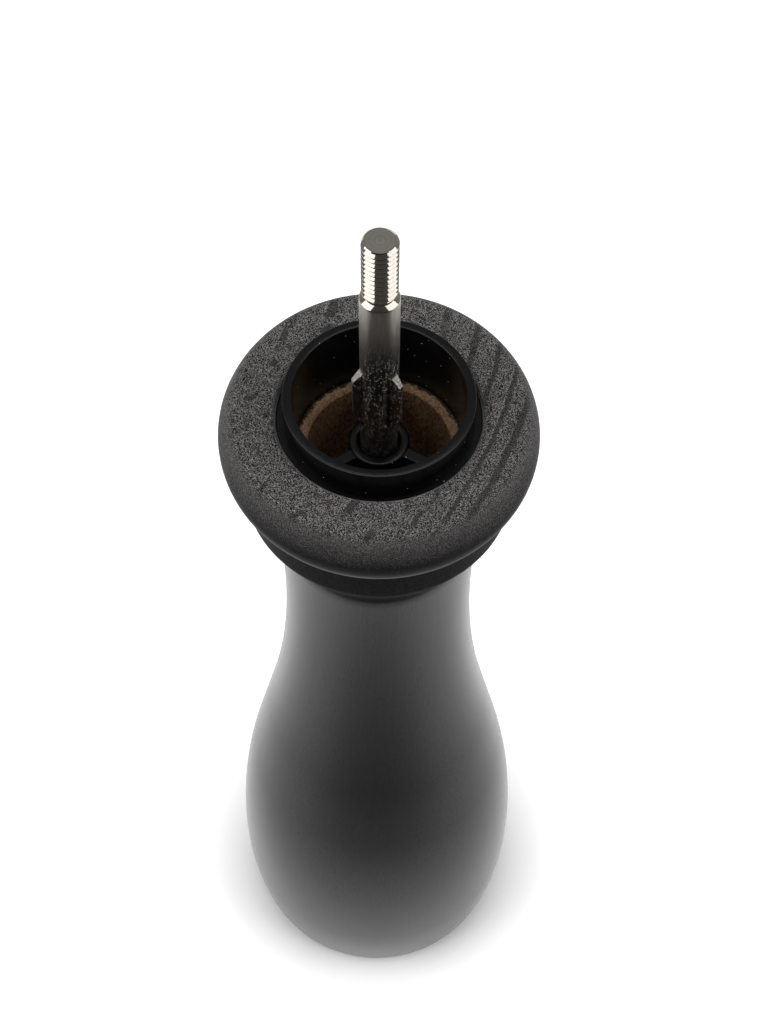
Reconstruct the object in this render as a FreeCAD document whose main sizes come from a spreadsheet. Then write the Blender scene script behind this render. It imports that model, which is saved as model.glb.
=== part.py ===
import FreeCAD, Part
import Sketcher
import math
import os
import re

# A wooden pepper mill with its turning top lifted off, standing on its base.
# The origin is the middle of the base and +Z is up along the drive shaft. Heights that belong
# to the mouth of the mill are counted from the flat top of the wood, the others from the base.

# Driving sizes: alias, value in millimetres, degrees or pieces, and what it measures
SIZES = [
    # Outside of the wooden body
    ("body_height", 177.0, "base to the flat top of the ring"),
    ("ring_radius", 23.7, "widest part of the ring at the mouth"),
    ("ring_middle", 5.2, "depth of that widest part below the top"),
    ("ring_side", 8.0, "radius of the ring's bulging side, seen in section"),
    ("ring_corner", 1.6, "rounding from the flat top to the side"),
    ("ring_length", 9.6, "depth of the ring's lower edge below the top"),
    ("groove_radius", 19.7, "root of the turned groove under the ring"),
    ("groove_width", 1.7, "height of that groove"),
    ("bead_radius", 20.6, "straight bead under the groove"),
    ("bead_length", 7.0, "height of the bead"),
    ("cove_drop", 1.6, "height of the bead's sloping underside"),
    ("cove_radius", 18.0, "radius where that underside turns into the cove"),
    ("cove_curve", 13.0, "radius of the cove, seen in section"),
    ("neck_depth", 29.0, "end of the cove below the top"),
    ("waist_radius", 15.6, "narrowest part of the neck"),
    ("waist_depth", 44.7, "depth of the waist below the top"),
    ("bulb_radius", 28.9, "widest part of the body"),
    ("bulb_height", 20.4, "height of that widest part above the base"),
    ("flank_length", 18.4, "straight part of the flank between neck and bulb"),
    ("hollow_share", 0.54, "the neck's share of the radii of neck and bulb, seen in section"),
    ("foot_curve", 124.0, "radius of the bulb below it, seen in section"),
    ("edge_break", 0.6, "chamfer on the sharp edges of the wood"),
    # Bores of the wooden body
    ("chamber_radius", 10.8, "bore that holds the peppercorns"),
    ("press_clearance", 0.04, "all round a piece pressed into its bore"),
    # Guide collar in the mouth
    ("collar_radius", 13.92, "outside of the collar's wall"),
    ("collar_wall", 1.4, "thickness of that wall"),
    ("collar_rise", 4.0, "height of its rim above the wood"),
    ("collar_depth", 8.9, "depth of its lower end below the wood"),
    ("flange_width", 1.16, "how far the collar's flange stands out from its wall"),
    ("flange_depth", 3.4, "depth of the flange's seat below the wood"),
    ("flange_thickness", 2.0, "thickness of the flange"),
    ("hub_radius", 4.6, "hub that guides the shaft"),
    ("hub_height", 4.4, "height of that hub"),
    ("spoke_width", 1.8, "width of a spoke"),
    ("spoke_height", 1.6, "height of a spoke"),
    ("spoke_count", 3, "spokes of the collar and arms of the cage"),
    ("spoke_azimuth", 92.0, "direction of the first spoke, from +X"),
    ("guide_clearance", 0.3, "all round the shaft where it is only guided"),
    # Drive shaft
    ("shaft_radius", 2.78, "plain rod"),
    ("shaft_rise", 37.5, "height of the shaft's tip above the wood"),
    ("thread_radius", 2.5, "outside of the thread at the tip"),
    ("thread_length", 10.3, "length of that thread"),
    ("tip_chamfer", 0.36, "chamfer of the tip"),
    ("relief_radius", 2.05, "root of the groove turned under the thread"),
    ("relief_length", 0.45, "height of that groove"),
    ("shoulder_length", 0.5, "chamfer from that groove to the rod"),
    ("wing_radius", 4.05, "outer edge of a swaged wing"),
    ("wing_root", 1.26, "thickness of a wing at the rod"),
    ("wing_edge", 0.74, "thickness of a wing at its outer edge"),
    ("wing_top", 10.9, "upper end of a wing above the wood"),
    ("wing_bottom", 1.5, "lower end of a wing below the wood"),
    ("wing_slope_top", 1.5, "height of a wing's sheared upper face"),
    ("wing_slope_bottom", 3.1, "height of a wing's sheared lower face"),
    ("wing_count", 3, "wings round the shaft"),
    ("wing_azimuth", -40.0, "direction of the first wing, from +X"),
    ("dent_depth", 0.6, "depth of the flat pressed in beside each wing"),
    ("dent_top", 9.2, "upper end of that flat above the wood"),
    ("dent_bottom", 1.0, "lower end of that flat below the wood"),
    ("dent_slope", 1.2, "height of the flat's sloping ends"),
    ("tang_width", 4.0, "square tang that carries the grinding cone"),
    ("journal_radius", 2.0, "lower end of the shaft"),
    ("journal_tail", 0.4, "length of the journal below its bush"),
    ("tang_clearance", 0.05, "all round the tang in the cone"),
    ("running_clearance", 0.05, "all round the journal in its bush"),
    # Bridge, bush and clip under the grinding cone
    ("bridge_lift", 2.0, "height of the bridge above the table"),
    ("bridge_thickness", 1.2, "steel strap of the bridge"),
    ("bridge_width", 9.0, "width of that strap"),
    ("bush_radius", 3.4, "bush through the strap"),
    ("bush_tail", 0.8, "length of the bush below the strap"),
    ("bush_flange_radius", 4.8, "flange of the bush on the strap"),
    ("bush_flange_thickness", 1.0, "thickness of that flange"),
    ("clip_radius", 4.0, "outside of the retaining clip"),
    ("clip_thickness", 0.8, "thickness of the clip"),
    ("clip_groove", 1.55, "root of the groove that holds the clip"),
    ("clip_mouth", 2.6, "open side of the clip"),
    # Grinding cone and ring
    ("cone_foot_radius", 5.0, "plain boss under the cone"),
    ("cone_foot_height", 0.6, "height of that boss"),
    ("cone_bottom_radius", 12.0, "tips of the fine teeth at the bottom"),
    ("cone_middle_radius", 10.2, "tips where fine teeth meet coarse flutes"),
    ("cone_top_radius", 7.4, "tips of the coarse flutes at the top"),
    ("fine_height", 5.4, "height of the fine teeth"),
    ("coarse_height", 10.0, "height of the coarse flutes"),
    ("fine_depth", 0.7, "depth of a fine tooth"),
    ("coarse_depth", 2.3, "depth of a coarse flute"),
    ("fine_count", 24, "fine teeth on the cone and in the ring"),
    ("coarse_count", 6, "coarse flutes on the cone"),
    ("fine_turn", 14.0, "turn of a fine tooth over its height"),
    ("coarse_turn", 70.0, "turn of a coarse flute over its height"),
    ("grinding_gap", 0.9, "between the tips of cone and ring, with the shaft down"),
    ("ring_wall", 1.8, "grinding ring behind its fine teeth"),
    ("ring_rim", 1.1, "grinding ring behind its feeding teeth, at the top"),
    ("ring_tooth", 0.8, "depth of a feeding tooth"),
    ("feed_count", 12, "feeding teeth in the ring"),
    ("feed_turn", -20.0, "turn of a feeding tooth over its height"),
    ("key_width", 3.0, "keys that stop the ring from turning"),
    ("key_height", 1.0, "how far a key stands out"),
    # Mechanism cage in the base
    ("cage_wall", 1.9, "wall of the cage round the ring"),
    ("cage_step", 1.7, "step of the cage over the top of the ring"),
    ("throat_height", 19.0, "height of the cage above the ring"),
    ("cage_flange_width", 4.3, "how far the flange under the wood stands out"),
    ("cage_flange_thickness", 2.0, "thickness of that flange"),
    ("cage_lip", 2.0, "thickness of the lip at the top of the cage"),
    ("cage_hub_radius", 5.0, "hub over the spring"),
    ("arm_width", 2.6, "arms that hold the hub"),
    ("arm_height", 4.0, "height of arms and hub"),
    ("cage_headroom", 0.2, "room above the cage in the wood"),
    # Spring and its washers
    ("washer_radius", 5.0, "thrust washer on the cone"),
    ("washer_thickness", 1.0, "thickness of that washer"),
    ("seat_radius", 4.9, "washer between the spring and the hub"),
    ("seat_thickness", 0.8, "thickness of that washer"),
    ("spring_radius", 3.9, "middle of the wire from the axis"),
    ("spring_wire", 0.9, "diameter of the wire"),
    ("spring_turns", 6, "turns, with one close turn at each end"),
    ("close_pitch", 1.4, "rise of a close turn"),
    ("spring_clearance", 0.1, "between the wire and each washer"),
    # Screws into the wood
    ("screw_radius", 1.1, "shank of a screw"),
    ("screw_length", 11.0, "screw from the top of its head to its point"),
    ("screw_head_radius", 1.75, "head of a screw"),
    ("screw_head_height", 1.1, "height of the head"),
    ("screw_slot", 0.55, "width of the slot in the head"),
    ("screw_slot_depth", 0.5, "depth of that slot"),
    ("screw_point", 2.4, "length of the point"),
    ("screw_clearance", 0.2, "all round a screw in its hole"),
    ("screw_count", 2, "screws of each kind"),
]
VALUE = {alias: value for alias, value, meaning in SIZES}

doc = FreeCAD.newDocument("PepperMill")
sheet = doc.addObject("Spreadsheet::Sheet", "Sizes")
for row, (alias, value, meaning) in enumerate(SIZES, start=1):
    sheet.set(f"A{row}", meaning)
    sheet.set(f"B{row}", str(value))
    sheet.setAlias(f"B{row}", alias)
doc.recompute()

# Heights and radii that several pieces share, in the words of the sheet
BRIDGE_TOP = "(bridge_lift + bridge_thickness)"
BUSH_TOP = f"({BRIDGE_TOP} + bush_flange_thickness)"
CLIP_TOP = f"({BUSH_TOP} + clip_thickness)"
TEETH_BOTTOM = f"({CLIP_TOP} + cone_foot_height)"
TEETH_MIDDLE = f"({TEETH_BOTTOM} + fine_height)"
CONE_TOP = f"({TEETH_MIDDLE} + coarse_height)"
FLANGE_TOP = f"({BRIDGE_TOP} + cage_flange_thickness)"
CAGE_TOP = f"({CONE_TOP} + throat_height)"
CONE_LEAN = "((cone_bottom_radius - cone_middle_radius) / fine_height)"
RING_SKIRT = f"(cone_bottom_radius + grinding_gap + {CONE_LEAN} * ({TEETH_BOTTOM} - {BRIDGE_TOP}))"
RING_OUTER = f"({RING_SKIRT} + fine_depth + ring_wall)"
RING_MOUTH = f"({RING_OUTER} - ring_rim - ring_tooth)"
CAGE_BORE = f"({RING_OUTER} + press_clearance)"
CAGE_RADIUS = f"({CAGE_BORE} + cage_wall)"
CAGE_THROAT = f"({RING_OUTER} - cage_step)"
CAGE_FLANGE = f"({CAGE_RADIUS} + cage_flange_width)"
SCREW_CIRCLE = f"({CAGE_RADIUS} + cage_flange_width / 2)"
ARM_BOTTOM = f"({CAGE_TOP} - arm_height)"
SEAT_BOTTOM = f"({ARM_BOTTOM} - seat_thickness)"
WASHER_TOP = f"({CONE_TOP} + washer_thickness)"
COLLAR_BOTTOM = "(body_height - collar_depth)"
COLLAR_FLANGE = "(collar_radius + flange_width)"
SPOKE_TOP = f"({COLLAR_BOTTOM} + spoke_height)"
GUIDE_BORE = "(shaft_radius + guide_clearance)"
# Neck and bulb are arcs, upright at waist and widest part, that one straight flank touches
FLANK_WIDTH = "(bulb_radius - waist_radius)"
FLANK_HEIGHT = "(body_height - waist_depth - bulb_height)"
FLANK_RADII = f"(({FLANK_WIDTH}^2 + {FLANK_HEIGHT}^2 - flank_length^2) / (2 * {FLANK_WIDTH}))"
NECK_CURVE = f"({FLANK_RADII} * hollow_share)"
BULB_CURVE = f"({FLANK_RADII} * (1 - hollow_share))"


def bound(words):
    """The same words with every alias pointing into the sheet."""
    return re.sub(r"[a-z]\w*", lambda m: "Sizes." + m[0] if m[0] in VALUE else m[0], words)


def size(words):
    """What the words come to with the sheet's present values."""
    return float(sheet.evalExpression(words))


# Sketches

def sketch_on(body, name, role, height=None):
    """An empty sketch on one of the body's own planes, raised along the plane's normal."""
    sketch = body.newObject("Sketcher::SketchObject", name)
    plane = next(item for item in body.Origin.OriginFeatures if item.Role == role)
    sketch.AttachmentSupport = [(plane, "")]
    sketch.MapMode = "FlatFace"
    if height:
        sketch.setExpression("AttachmentOffset.Base.z", bound(height))
    return sketch


def fix(sketch, geometry, point, words, kind):
    """Ties one coordinate of a point to the sheet, or puts the point on an axis."""
    if words == "0":
        axis = -2 if kind == "DistanceX" else -1
        sketch.addConstraint(Sketcher.Constraint("PointOnObject", geometry, point, axis))
        return
    index = sketch.addConstraint(Sketcher.Constraint(kind, -1, 1, geometry, point, size(words)))
    sketch.setExpression(f"Constraints[{index}]", bound(words))


def place(sketch, geometry, point, x_words, y_words):
    """Ties a point to the sheet, leaving out a coordinate that is None."""
    if x_words is not None:
        fix(sketch, geometry, point, x_words, "DistanceX")
    if y_words is not None:
        fix(sketch, geometry, point, y_words, "DistanceY")


def set_radius(sketch, geometry, words):
    """Ties the radius of an arc or circle to the sheet."""
    index = sketch.addConstraint(Sketcher.Constraint("Radius", geometry, size(words)))
    sketch.setExpression(f"Constraints[{index}]", bound(words))


def polygon(sketch, corners):
    """Closes straight edges through corners, each a pair of words."""
    points = [FreeCAD.Vector(size(x), size(y), 0) for x, y in corners]
    edges = []
    for start, end in zip(points, points[1:] + points[:1]):
        edges.append(sketch.addGeometry(Part.LineSegment(start, end)))
    for edge, after in zip(edges, edges[1:] + edges[:1]):
        sketch.addConstraint(Sketcher.Constraint("Coincident", edge, 2, after, 1))
    for edge, (x, y) in zip(edges, corners):
        place(sketch, edge, 1, x, y)


def circle(sketch, radius, x_words="0", y_words="0"):
    """A circle of that radius about a point."""
    middle = FreeCAD.Vector(size(x_words), size(y_words), 0)
    geometry = sketch.addGeometry(Part.Circle(middle, FreeCAD.Vector(0, 0, 1), size(radius)))
    place(sketch, geometry, 3, x_words, y_words)
    set_radius(sketch, geometry, radius)


def rectangle(sketch, low_x, low_y, high_x, high_y):
    """A rectangle between two corners."""
    polygon(sketch, [(low_x, low_y), (high_x, low_y), (high_x, high_y), (low_x, high_y)])


# Features

def new_body(label, azimuth=None):
    """A body with that label, turned about the shaft's axis."""
    body = doc.addObject("PartDesign::Body", label)
    body.Label = label
    if azimuth:
        body.setExpression("Placement.Rotation.Angle", bound(azimuth))
    return body


def revolved(body, name, corners):
    """Turns a straight-edged outline of radii and heights about the shaft's axis."""
    sketch = sketch_on(body, name + "Outline", "XZ_Plane")
    polygon(sketch, corners)
    return revolution(body, name, sketch)


def revolution(body, name, sketch):
    """Turns a finished sketch about the shaft's axis."""
    feature = body.newObject("PartDesign::Revolution", name)
    feature.Profile = sketch
    feature.ReferenceAxis = (sketch, ["V_Axis"])
    feature.Angle = 360
    doc.recompute()
    return feature


def pad(body, name, sketch, length, symmetric=False):
    """Adds the sketch's area, drawn out along its normal."""
    feature = body.newObject("PartDesign::Pad", name)
    feature.Profile = sketch
    feature.setExpression("Length", bound(length))
    if symmetric:
        feature.SideType = "Symmetric"
    doc.recompute()
    return feature


def pocket(body, name, sketch, length):
    """Cuts the sketch's area along its normal, and makes sure that it cut something."""
    before = body.Shape.Volume
    feature = body.newObject("PartDesign::Pocket", name)
    feature.Profile = sketch
    feature.Reversed = True
    feature.setExpression("Length", bound(length))
    doc.recompute()
    if not body.Shape.Volume < before:
        raise RuntimeError(f"{body.Label}: {name} cuts nothing")
    return feature


def around(body, name, feature, count):
    """Repeats a feature evenly round the shaft's axis."""
    pattern = body.newObject("PartDesign::PolarPattern", name)
    pattern.Originals = [feature]
    axis = next(item for item in body.Origin.OriginFeatures if item.Role == "Z_Axis")
    pattern.Axis = (axis, [""])
    pattern.Angle = 360
    pattern.setExpression("Occurrences", bound(count))
    body.Tip = pattern
    doc.recompute()
    return pattern


def ring_of(label, inner, outer, bottom, top):
    """A plain washer or bush."""
    body = new_body(label)
    revolved(body, label + "Ring", [(inner, bottom), (outer, bottom), (outer, top), (inner, top)])
    return body


def skin(rings):
    """A solid with flat faces through closed rings of points, flat at the first and the last."""
    triangles = []
    for low, high in zip(rings, rings[1:]):
        for here in range(len(low)):
            there = here - 1
            triangles += [(low[there], low[here], high[here]), (low[there], high[here], high[there])]
    faces = [Part.Face(Part.makePolygon(list(corners) + [corners[0]]))
             for corners in triangles + [rings[0], rings[-1]]]
    solid = Part.Solid(Part.makeShell(faces))
    return solid if solid.Volume > 0 else solid.reversed()


def shape_of(label, shape):
    """A finished shape as a piece of its own."""
    feature = doc.addObject("Part::Feature", label)
    feature.Label = label
    feature.Shape = shape
    feature.Placement = FreeCAD.Placement()
    return feature


# Wooden body

def arc_about(sketch, middle, radius, start, end):
    """An arc counter-clockwise between two directions, given in radians."""
    whole = Part.Circle(FreeCAD.Vector(middle[0], middle[1], 0), FreeCAD.Vector(0, 0, 1), radius)
    return sketch.addGeometry(Part.ArcOfCircle(whole, start, end))


def wood_outline(sketch):
    """The turned outside and the drilled inside of the wood, as one closed outline.

    Arcs run counter-clockwise, so their start is point 1 and their end is point 2.
    """
    top = VALUE["body_height"]
    # Inside, from the base up to the edge of the mouth
    recess = f"{CAGE_FLANGE} + guide_clearance"
    shaft_hole = f"{CAGE_RADIUS} + press_clearance"
    ceiling = f"{CAGE_TOP} + cage_headroom"
    seat = "collar_radius + press_clearance"
    mouth = f"{COLLAR_FLANGE} + press_clearance"
    ledge = f"{COLLAR_BOTTOM} - press_clearance"
    flange_seat = "body_height - flange_depth"
    inside = [
        (recess, "0"), (recess, FLANGE_TOP), (shaft_hole, FLANGE_TOP), (shaft_hole, ceiling),
        ("chamber_radius", ceiling), ("chamber_radius", ledge), (seat, ledge), (seat, flange_seat),
        (mouth, flange_seat), (mouth, "body_height - edge_break"),
        (f"{mouth} + edge_break", "body_height"),
    ]
    # Where the free ends of arcs start from, before the tangencies settle them
    side_middle = (VALUE["ring_radius"] - VALUE["ring_side"], top - VALUE["ring_middle"])
    reach = VALUE["ring_side"] - VALUE["ring_corner"]
    corner_rise = VALUE["ring_middle"] - VALUE["ring_corner"]
    corner_angle = math.asin(corner_rise / reach)
    corner_middle = (side_middle[0] + reach * math.cos(corner_angle), side_middle[1] + corner_rise)
    lip_angle = -math.asin((VALUE["ring_length"] - VALUE["ring_middle"]) / VALUE["ring_side"])
    neck_curve, bulb_curve, radii = size(NECK_CURVE), size(BULB_CURVE), size(FLANK_RADII)
    waist_middle = (VALUE["waist_radius"] + neck_curve, top - VALUE["waist_depth"])
    bulb_middle = (VALUE["bulb_radius"] - bulb_curve, VALUE["bulb_height"])
    flank = math.atan2(size(FLANK_HEIGHT), radii - size(FLANK_WIDTH))
    flank -= math.atan2(VALUE["flank_length"], radii)
    neck_angle = math.asin((VALUE["waist_depth"] - VALUE["neck_depth"]) / neck_curve)
    foot_middle = (VALUE["bulb_radius"] - VALUE["foot_curve"], VALUE["bulb_height"])
    foot_angle = -math.asin((VALUE["bulb_height"] - VALUE["edge_break"]) / VALUE["foot_curve"])

    def end_of(edge, point):
        return sketch.getPoint(edge, point)

    def line(start, end):
        return sketch.addGeometry(Part.LineSegment(start, end))

    def vector(x_words, y_words):
        return FreeCAD.Vector(size(x_words), size(y_words), 0)

    # Each entry of path is an edge with its first and last point along the way round
    path = []
    for low, high in zip(inside, inside[1:]):
        edge = line(vector(*low), vector(*high))
        place(sketch, edge, 1, *low)
        path.append((edge, 1, 2))
    corner = arc_about(sketch, corner_middle, VALUE["ring_corner"], corner_angle, math.pi / 2)
    flat = line(vector(*inside[-1]), end_of(corner, 2))
    place(sketch, flat, 1, *inside[-1])
    place(sketch, flat, 2, None, "body_height")
    side = arc_about(sketch, side_middle, VALUE["ring_side"], lip_angle, corner_angle)
    groove = "body_height - ring_length - groove_width / 2"
    bead_top = "body_height - ring_length - groove_width"
    bead_bottom = f"{bead_top} - bead_length"
    cove_top = f"{bead_bottom} - cove_drop"
    below = [("groove_radius", groove), ("bead_radius", bead_top), ("bead_radius", bead_bottom),
             ("cove_radius", cove_top)]
    lip = line(end_of(side, 1), vector(*below[0]))
    path += [(flat, 1, 2), (corner, 2, 1), (side, 2, 1), (lip, 1, 2)]
    for upper, lower in zip(below, below[1:]):
        edge = line(vector(*upper), vector(*lower))
        place(sketch, edge, 1, *upper)
        path.append((edge, 1, 2))
    neck = arc_about(sketch, waist_middle, neck_curve, math.pi - neck_angle, math.pi + flank)
    cove_start, cove_end = vector(*below[-1]), end_of(neck, 1)
    chord = cove_end - cove_start
    rise = math.sqrt(VALUE["cove_curve"] ** 2 - (chord.Length / 2) ** 2)
    outward = FreeCAD.Vector(-chord.y, chord.x, 0).normalize()
    cove_middle = cove_start + chord * 0.5 + outward * rise
    cove = arc_about(sketch, (cove_middle.x, cove_middle.y), VALUE["cove_curve"],
                     math.atan2(cove_start.y - cove_middle.y, cove_start.x - cove_middle.x),
                     math.atan2(cove_end.y - cove_middle.y, cove_end.x - cove_middle.x))
    place(sketch, cove, 1, *below[-1])
    bulb = arc_about(sketch, bulb_middle, bulb_curve, 0, flank)
    slope = line(end_of(neck, 2), end_of(bulb, 2))
    foot = arc_about(sketch, foot_middle, VALUE["foot_curve"], foot_angle, 0)
    foot_point = end_of(foot, 1)
    chamfer = line(foot_point, FreeCAD.Vector(foot_point.x - VALUE["edge_break"], 0, 0))
    base = line(end_of(chamfer, 2), vector(*inside[0]))
    path += [(cove, 1, 2), (neck, 1, 2), (slope, 1, 2), (bulb, 2, 1), (foot, 2, 1),
             (chamfer, 1, 2), (base, 1, 2)]
    smooth = {(flat, corner), (corner, side), (neck, slope), (slope, bulb)}
    for (edge, first, last), (after, begin, finish) in zip(path, path[1:] + path[:1]):
        kind = "Tangent" if (edge, after) in smooth else "Coincident"
        sketch.addConstraint(Sketcher.Constraint(kind, edge, last, after, begin))
    # Middles and radii of the arcs
    set_radius(sketch, corner, "ring_corner")
    set_radius(sketch, side, "ring_side")
    place(sketch, side, 3, "ring_radius - ring_side", "body_height - ring_middle")
    place(sketch, side, 1, None, "body_height - ring_length")
    set_radius(sketch, cove, "cove_curve")
    set_radius(sketch, neck, NECK_CURVE)
    place(sketch, neck, 3, f"waist_radius + {NECK_CURVE}", "body_height - waist_depth")
    place(sketch, neck, 1, None, "body_height - neck_depth")
    set_radius(sketch, bulb, BULB_CURVE)
    place(sketch, bulb, 3, f"bulb_radius - {BULB_CURVE}", "bulb_height")
    place(sketch, bulb, 1, None, "bulb_height")
    set_radius(sketch, foot, "foot_curve")
    place(sketch, foot, 3, None, "bulb_height")
    place(sketch, foot, 1, None, "edge_break")
    sketch.addConstraint(Sketcher.Constraint("PointOnObject", chamfer, 2, -1))
    index = sketch.addConstraint(
        Sketcher.Constraint("DistanceX", chamfer, 2, chamfer, 1, VALUE["edge_break"]))
    sketch.setExpression(f"Constraints[{index}]", bound("edge_break"))


def make_wooden_body():
    """The turned and drilled body, with pilot holes for the screws in its base."""
    body = new_body("wooden_body")
    sketch = sketch_on(body, "WoodOutline", "XZ_Plane")
    wood_outline(sketch)
    revolution(body, "Turned", sketch)
    for name, x_words, y_words, head_top in screw_places():
        pilot = sketch_on(body, f"{name}Pilot", "XY_Plane", FLANGE_TOP)
        circle(pilot, "screw_radius", x_words, y_words)
        hole = pocket(body, f"{name}Hole", pilot, f"{head_top} + screw_length - {FLANGE_TOP}")
        around(body, f"{name}Holes", hole, "screw_count")
    return body


def make_guide_collar():
    """The moulded collar in the mouth, whose three spokes carry a hub round the shaft."""
    body = new_body("guide_collar", "spoke_azimuth")
    inner = "collar_radius - collar_wall"
    seat = "body_height - flange_depth"
    flange_top = f"{seat} + flange_thickness"
    rim = "body_height + collar_rise"
    revolved(body, "Wall", [
        (inner, COLLAR_BOTTOM), ("collar_radius", COLLAR_BOTTOM), ("collar_radius", seat),
        (COLLAR_FLANGE, seat), (COLLAR_FLANGE, flange_top), ("collar_radius", flange_top),
        ("collar_radius", rim), (inner, rim),
    ])
    sketch = sketch_on(body, "SpokeOutline", "XY_Plane", COLLAR_BOTTOM)
    rectangle(sketch, "(shaft_radius + guide_clearance + hub_radius) / 2", "-spoke_width / 2",
              "collar_radius - collar_wall / 2", "spoke_width / 2")
    spoke = pad(body, "Spoke", sketch, "spoke_height")
    around(body, "Spokes", spoke, "spoke_count")
    hub_bottom = f"{SPOKE_TOP} - hub_height"
    revolved(body, "Hub", [(GUIDE_BORE, hub_bottom), ("hub_radius", hub_bottom),
                           ("hub_radius", SPOKE_TOP), (GUIDE_BORE, SPOKE_TOP)])
    return body


# Drive shaft

def make_drive_shaft():
    """The steel rod: threaded tip, wings swaged out of it, square tang and journal."""
    body = new_body("drive_shaft", "wing_azimuth")
    tip = "body_height + shaft_rise"
    thread_foot = f"{tip} - thread_length"
    shoulder = f"{thread_foot} - relief_length"
    tail = "bridge_lift - bush_tail - journal_tail"
    revolved(body, "Rod", [
        ("0", tail), ("journal_radius", tail), ("journal_radius", BUSH_TOP),
        ("clip_groove", BUSH_TOP), ("clip_groove", CLIP_TOP), ("shaft_radius", CLIP_TOP),
        ("shaft_radius", f"{shoulder} - shoulder_length"), ("relief_radius", shoulder),
        ("relief_radius", thread_foot), ("thread_radius", thread_foot),
        ("thread_radius", f"{tip} - tip_chamfer"), ("thread_radius - tip_chamfer", tip), ("0", tip),
    ])
    sketch = sketch_on(body, "TangOutline", "XY_Plane", CLIP_TOP)
    rectangle(sketch, "-shaft_radius * 2", "-shaft_radius * 2", "shaft_radius * 2", "shaft_radius * 2")
    rectangle(sketch, "-tang_width / 2", "-tang_width / 2", "tang_width / 2", "tang_width / 2")
    pocket(body, "Tang", sketch, f"{CONE_TOP} - {CLIP_TOP}")
    sketch = sketch_on(body, "WingOutline", "XZ_Plane")
    low, high = "body_height - wing_bottom", "body_height + wing_top"
    polygon(sketch, [
        ("shaft_radius / 2", low), ("shaft_radius", low), ("wing_radius", f"{low} + wing_slope_bottom"),
        ("wing_radius", f"{high} - wing_slope_top"), ("shaft_radius", high), ("shaft_radius / 2", high),
    ])
    wing = pad(body, "Wing", sketch, "wing_root", symmetric=True)
    around(body, "Wings", wing, "wing_count")
    # Both sides of a wing are drawn in towards its outer edge
    sketch = sketch_on(body, "TaperOutline", "XY_Plane", low)
    far = "wing_radius * 2 - shaft_radius"
    polygon(sketch, [("shaft_radius", "wing_root / 2"), (far, "wing_edge - wing_root / 2"),
                     (far, "wing_root"), ("shaft_radius", "wing_root")])
    polygon(sketch, [("shaft_radius", "-wing_root / 2"), ("shaft_radius", "-wing_root"),
                     (far, "-wing_root"), (far, "wing_root / 2 - wing_edge")])
    taper = pocket(body, "Taper", sketch, f"{high} - ({low})")
    around(body, "Tapers", taper, "wing_count")
    # Each wing is pressed up out of a flat beside it, whose ends slope out of the rod
    sketch = sketch_on(body, "DentOutline", "XZ_Plane", "wing_root / 2")
    floor, mouth = "shaft_radius - dent_depth", "shaft_radius + dent_depth"
    foot, head = "body_height - dent_bottom", "body_height + dent_top"
    polygon(sketch, [(floor, f"{foot} + dent_slope"), (mouth, f"{foot} - dent_slope"),
                     (mouth, f"{head} + dent_slope"), (floor, f"{head} - dent_slope")])
    dent = pocket(body, "Dent", sketch, "shaft_radius")
    around(body, "Dents", dent, "wing_count")
    return body


# Grinding cone and ring

TOOTH_LEAN = 0.35   # share of a tooth's pitch from its tip to the root behind it
COARSE_STEPS = 3    # straight steps that follow the twist of a coarse flute
FEED_STEPS = 2      # and of a feeding tooth


def toothed(count, tip, root, height, turn):
    """A closed ring of saw teeth at one height, turned about the axis by degrees."""
    points = []
    for tooth in range(count):
        for radius, share in ((tip, 0.0), (root, TOOTH_LEAN)):
            angle = math.radians(turn + 360.0 * (tooth + share) / count)
            points.append(FreeCAD.Vector(radius * math.cos(angle), radius * math.sin(angle), height))
    return points


def helical(count, sections):
    """A solid of helical teeth through sections of tip, root, height and turn."""
    return skin([toothed(count, *section) for section in sections])


def between(first, last, steps):
    """Sections in equal steps between two, each of tip, root, height and turn."""
    for step in range(steps + 1):
        share = step / steps
        yield [a + (b - a) * share for a, b in zip(first, last)]


def make_grinding_cone():
    """The hardened cone: coarse flutes that draw the corns down onto fine teeth."""
    bottom, middle, top = size(TEETH_BOTTOM), size(TEETH_MIDDLE), size(CONE_TOP)
    foot = size(CLIP_TOP)
    wide, mean, narrow = (VALUE[k] for k in ("cone_bottom_radius", "cone_middle_radius", "cone_top_radius"))
    fine, coarse = VALUE["fine_depth"], VALUE["coarse_depth"]
    lower = helical(VALUE["fine_count"], [
        (wide, wide - fine, bottom, 0.0),
        (mean, mean - fine, middle, VALUE["fine_turn"]),
    ])
    flutes = helical(VALUE["coarse_count"], list(between(
        (mean, mean - coarse, middle, 0.0),
        (narrow, narrow - coarse, top, VALUE["coarse_turn"]), COARSE_STEPS)))
    boss = Part.makeCylinder(VALUE["cone_foot_radius"], bottom - foot, FreeCAD.Vector(0, 0, foot))
    width = VALUE["tang_width"] + 2 * VALUE["tang_clearance"]
    hole = Part.makeBox(width, width, top - foot, FreeCAD.Vector(-width / 2, -width / 2, foot))
    hole.rotate(FreeCAD.Vector(0, 0, 0), FreeCAD.Vector(0, 0, 1), VALUE["wing_azimuth"])
    return shape_of("grinding_cone", lower.fuse([flutes, boss]).cut(hole).removeSplitter())


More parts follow.
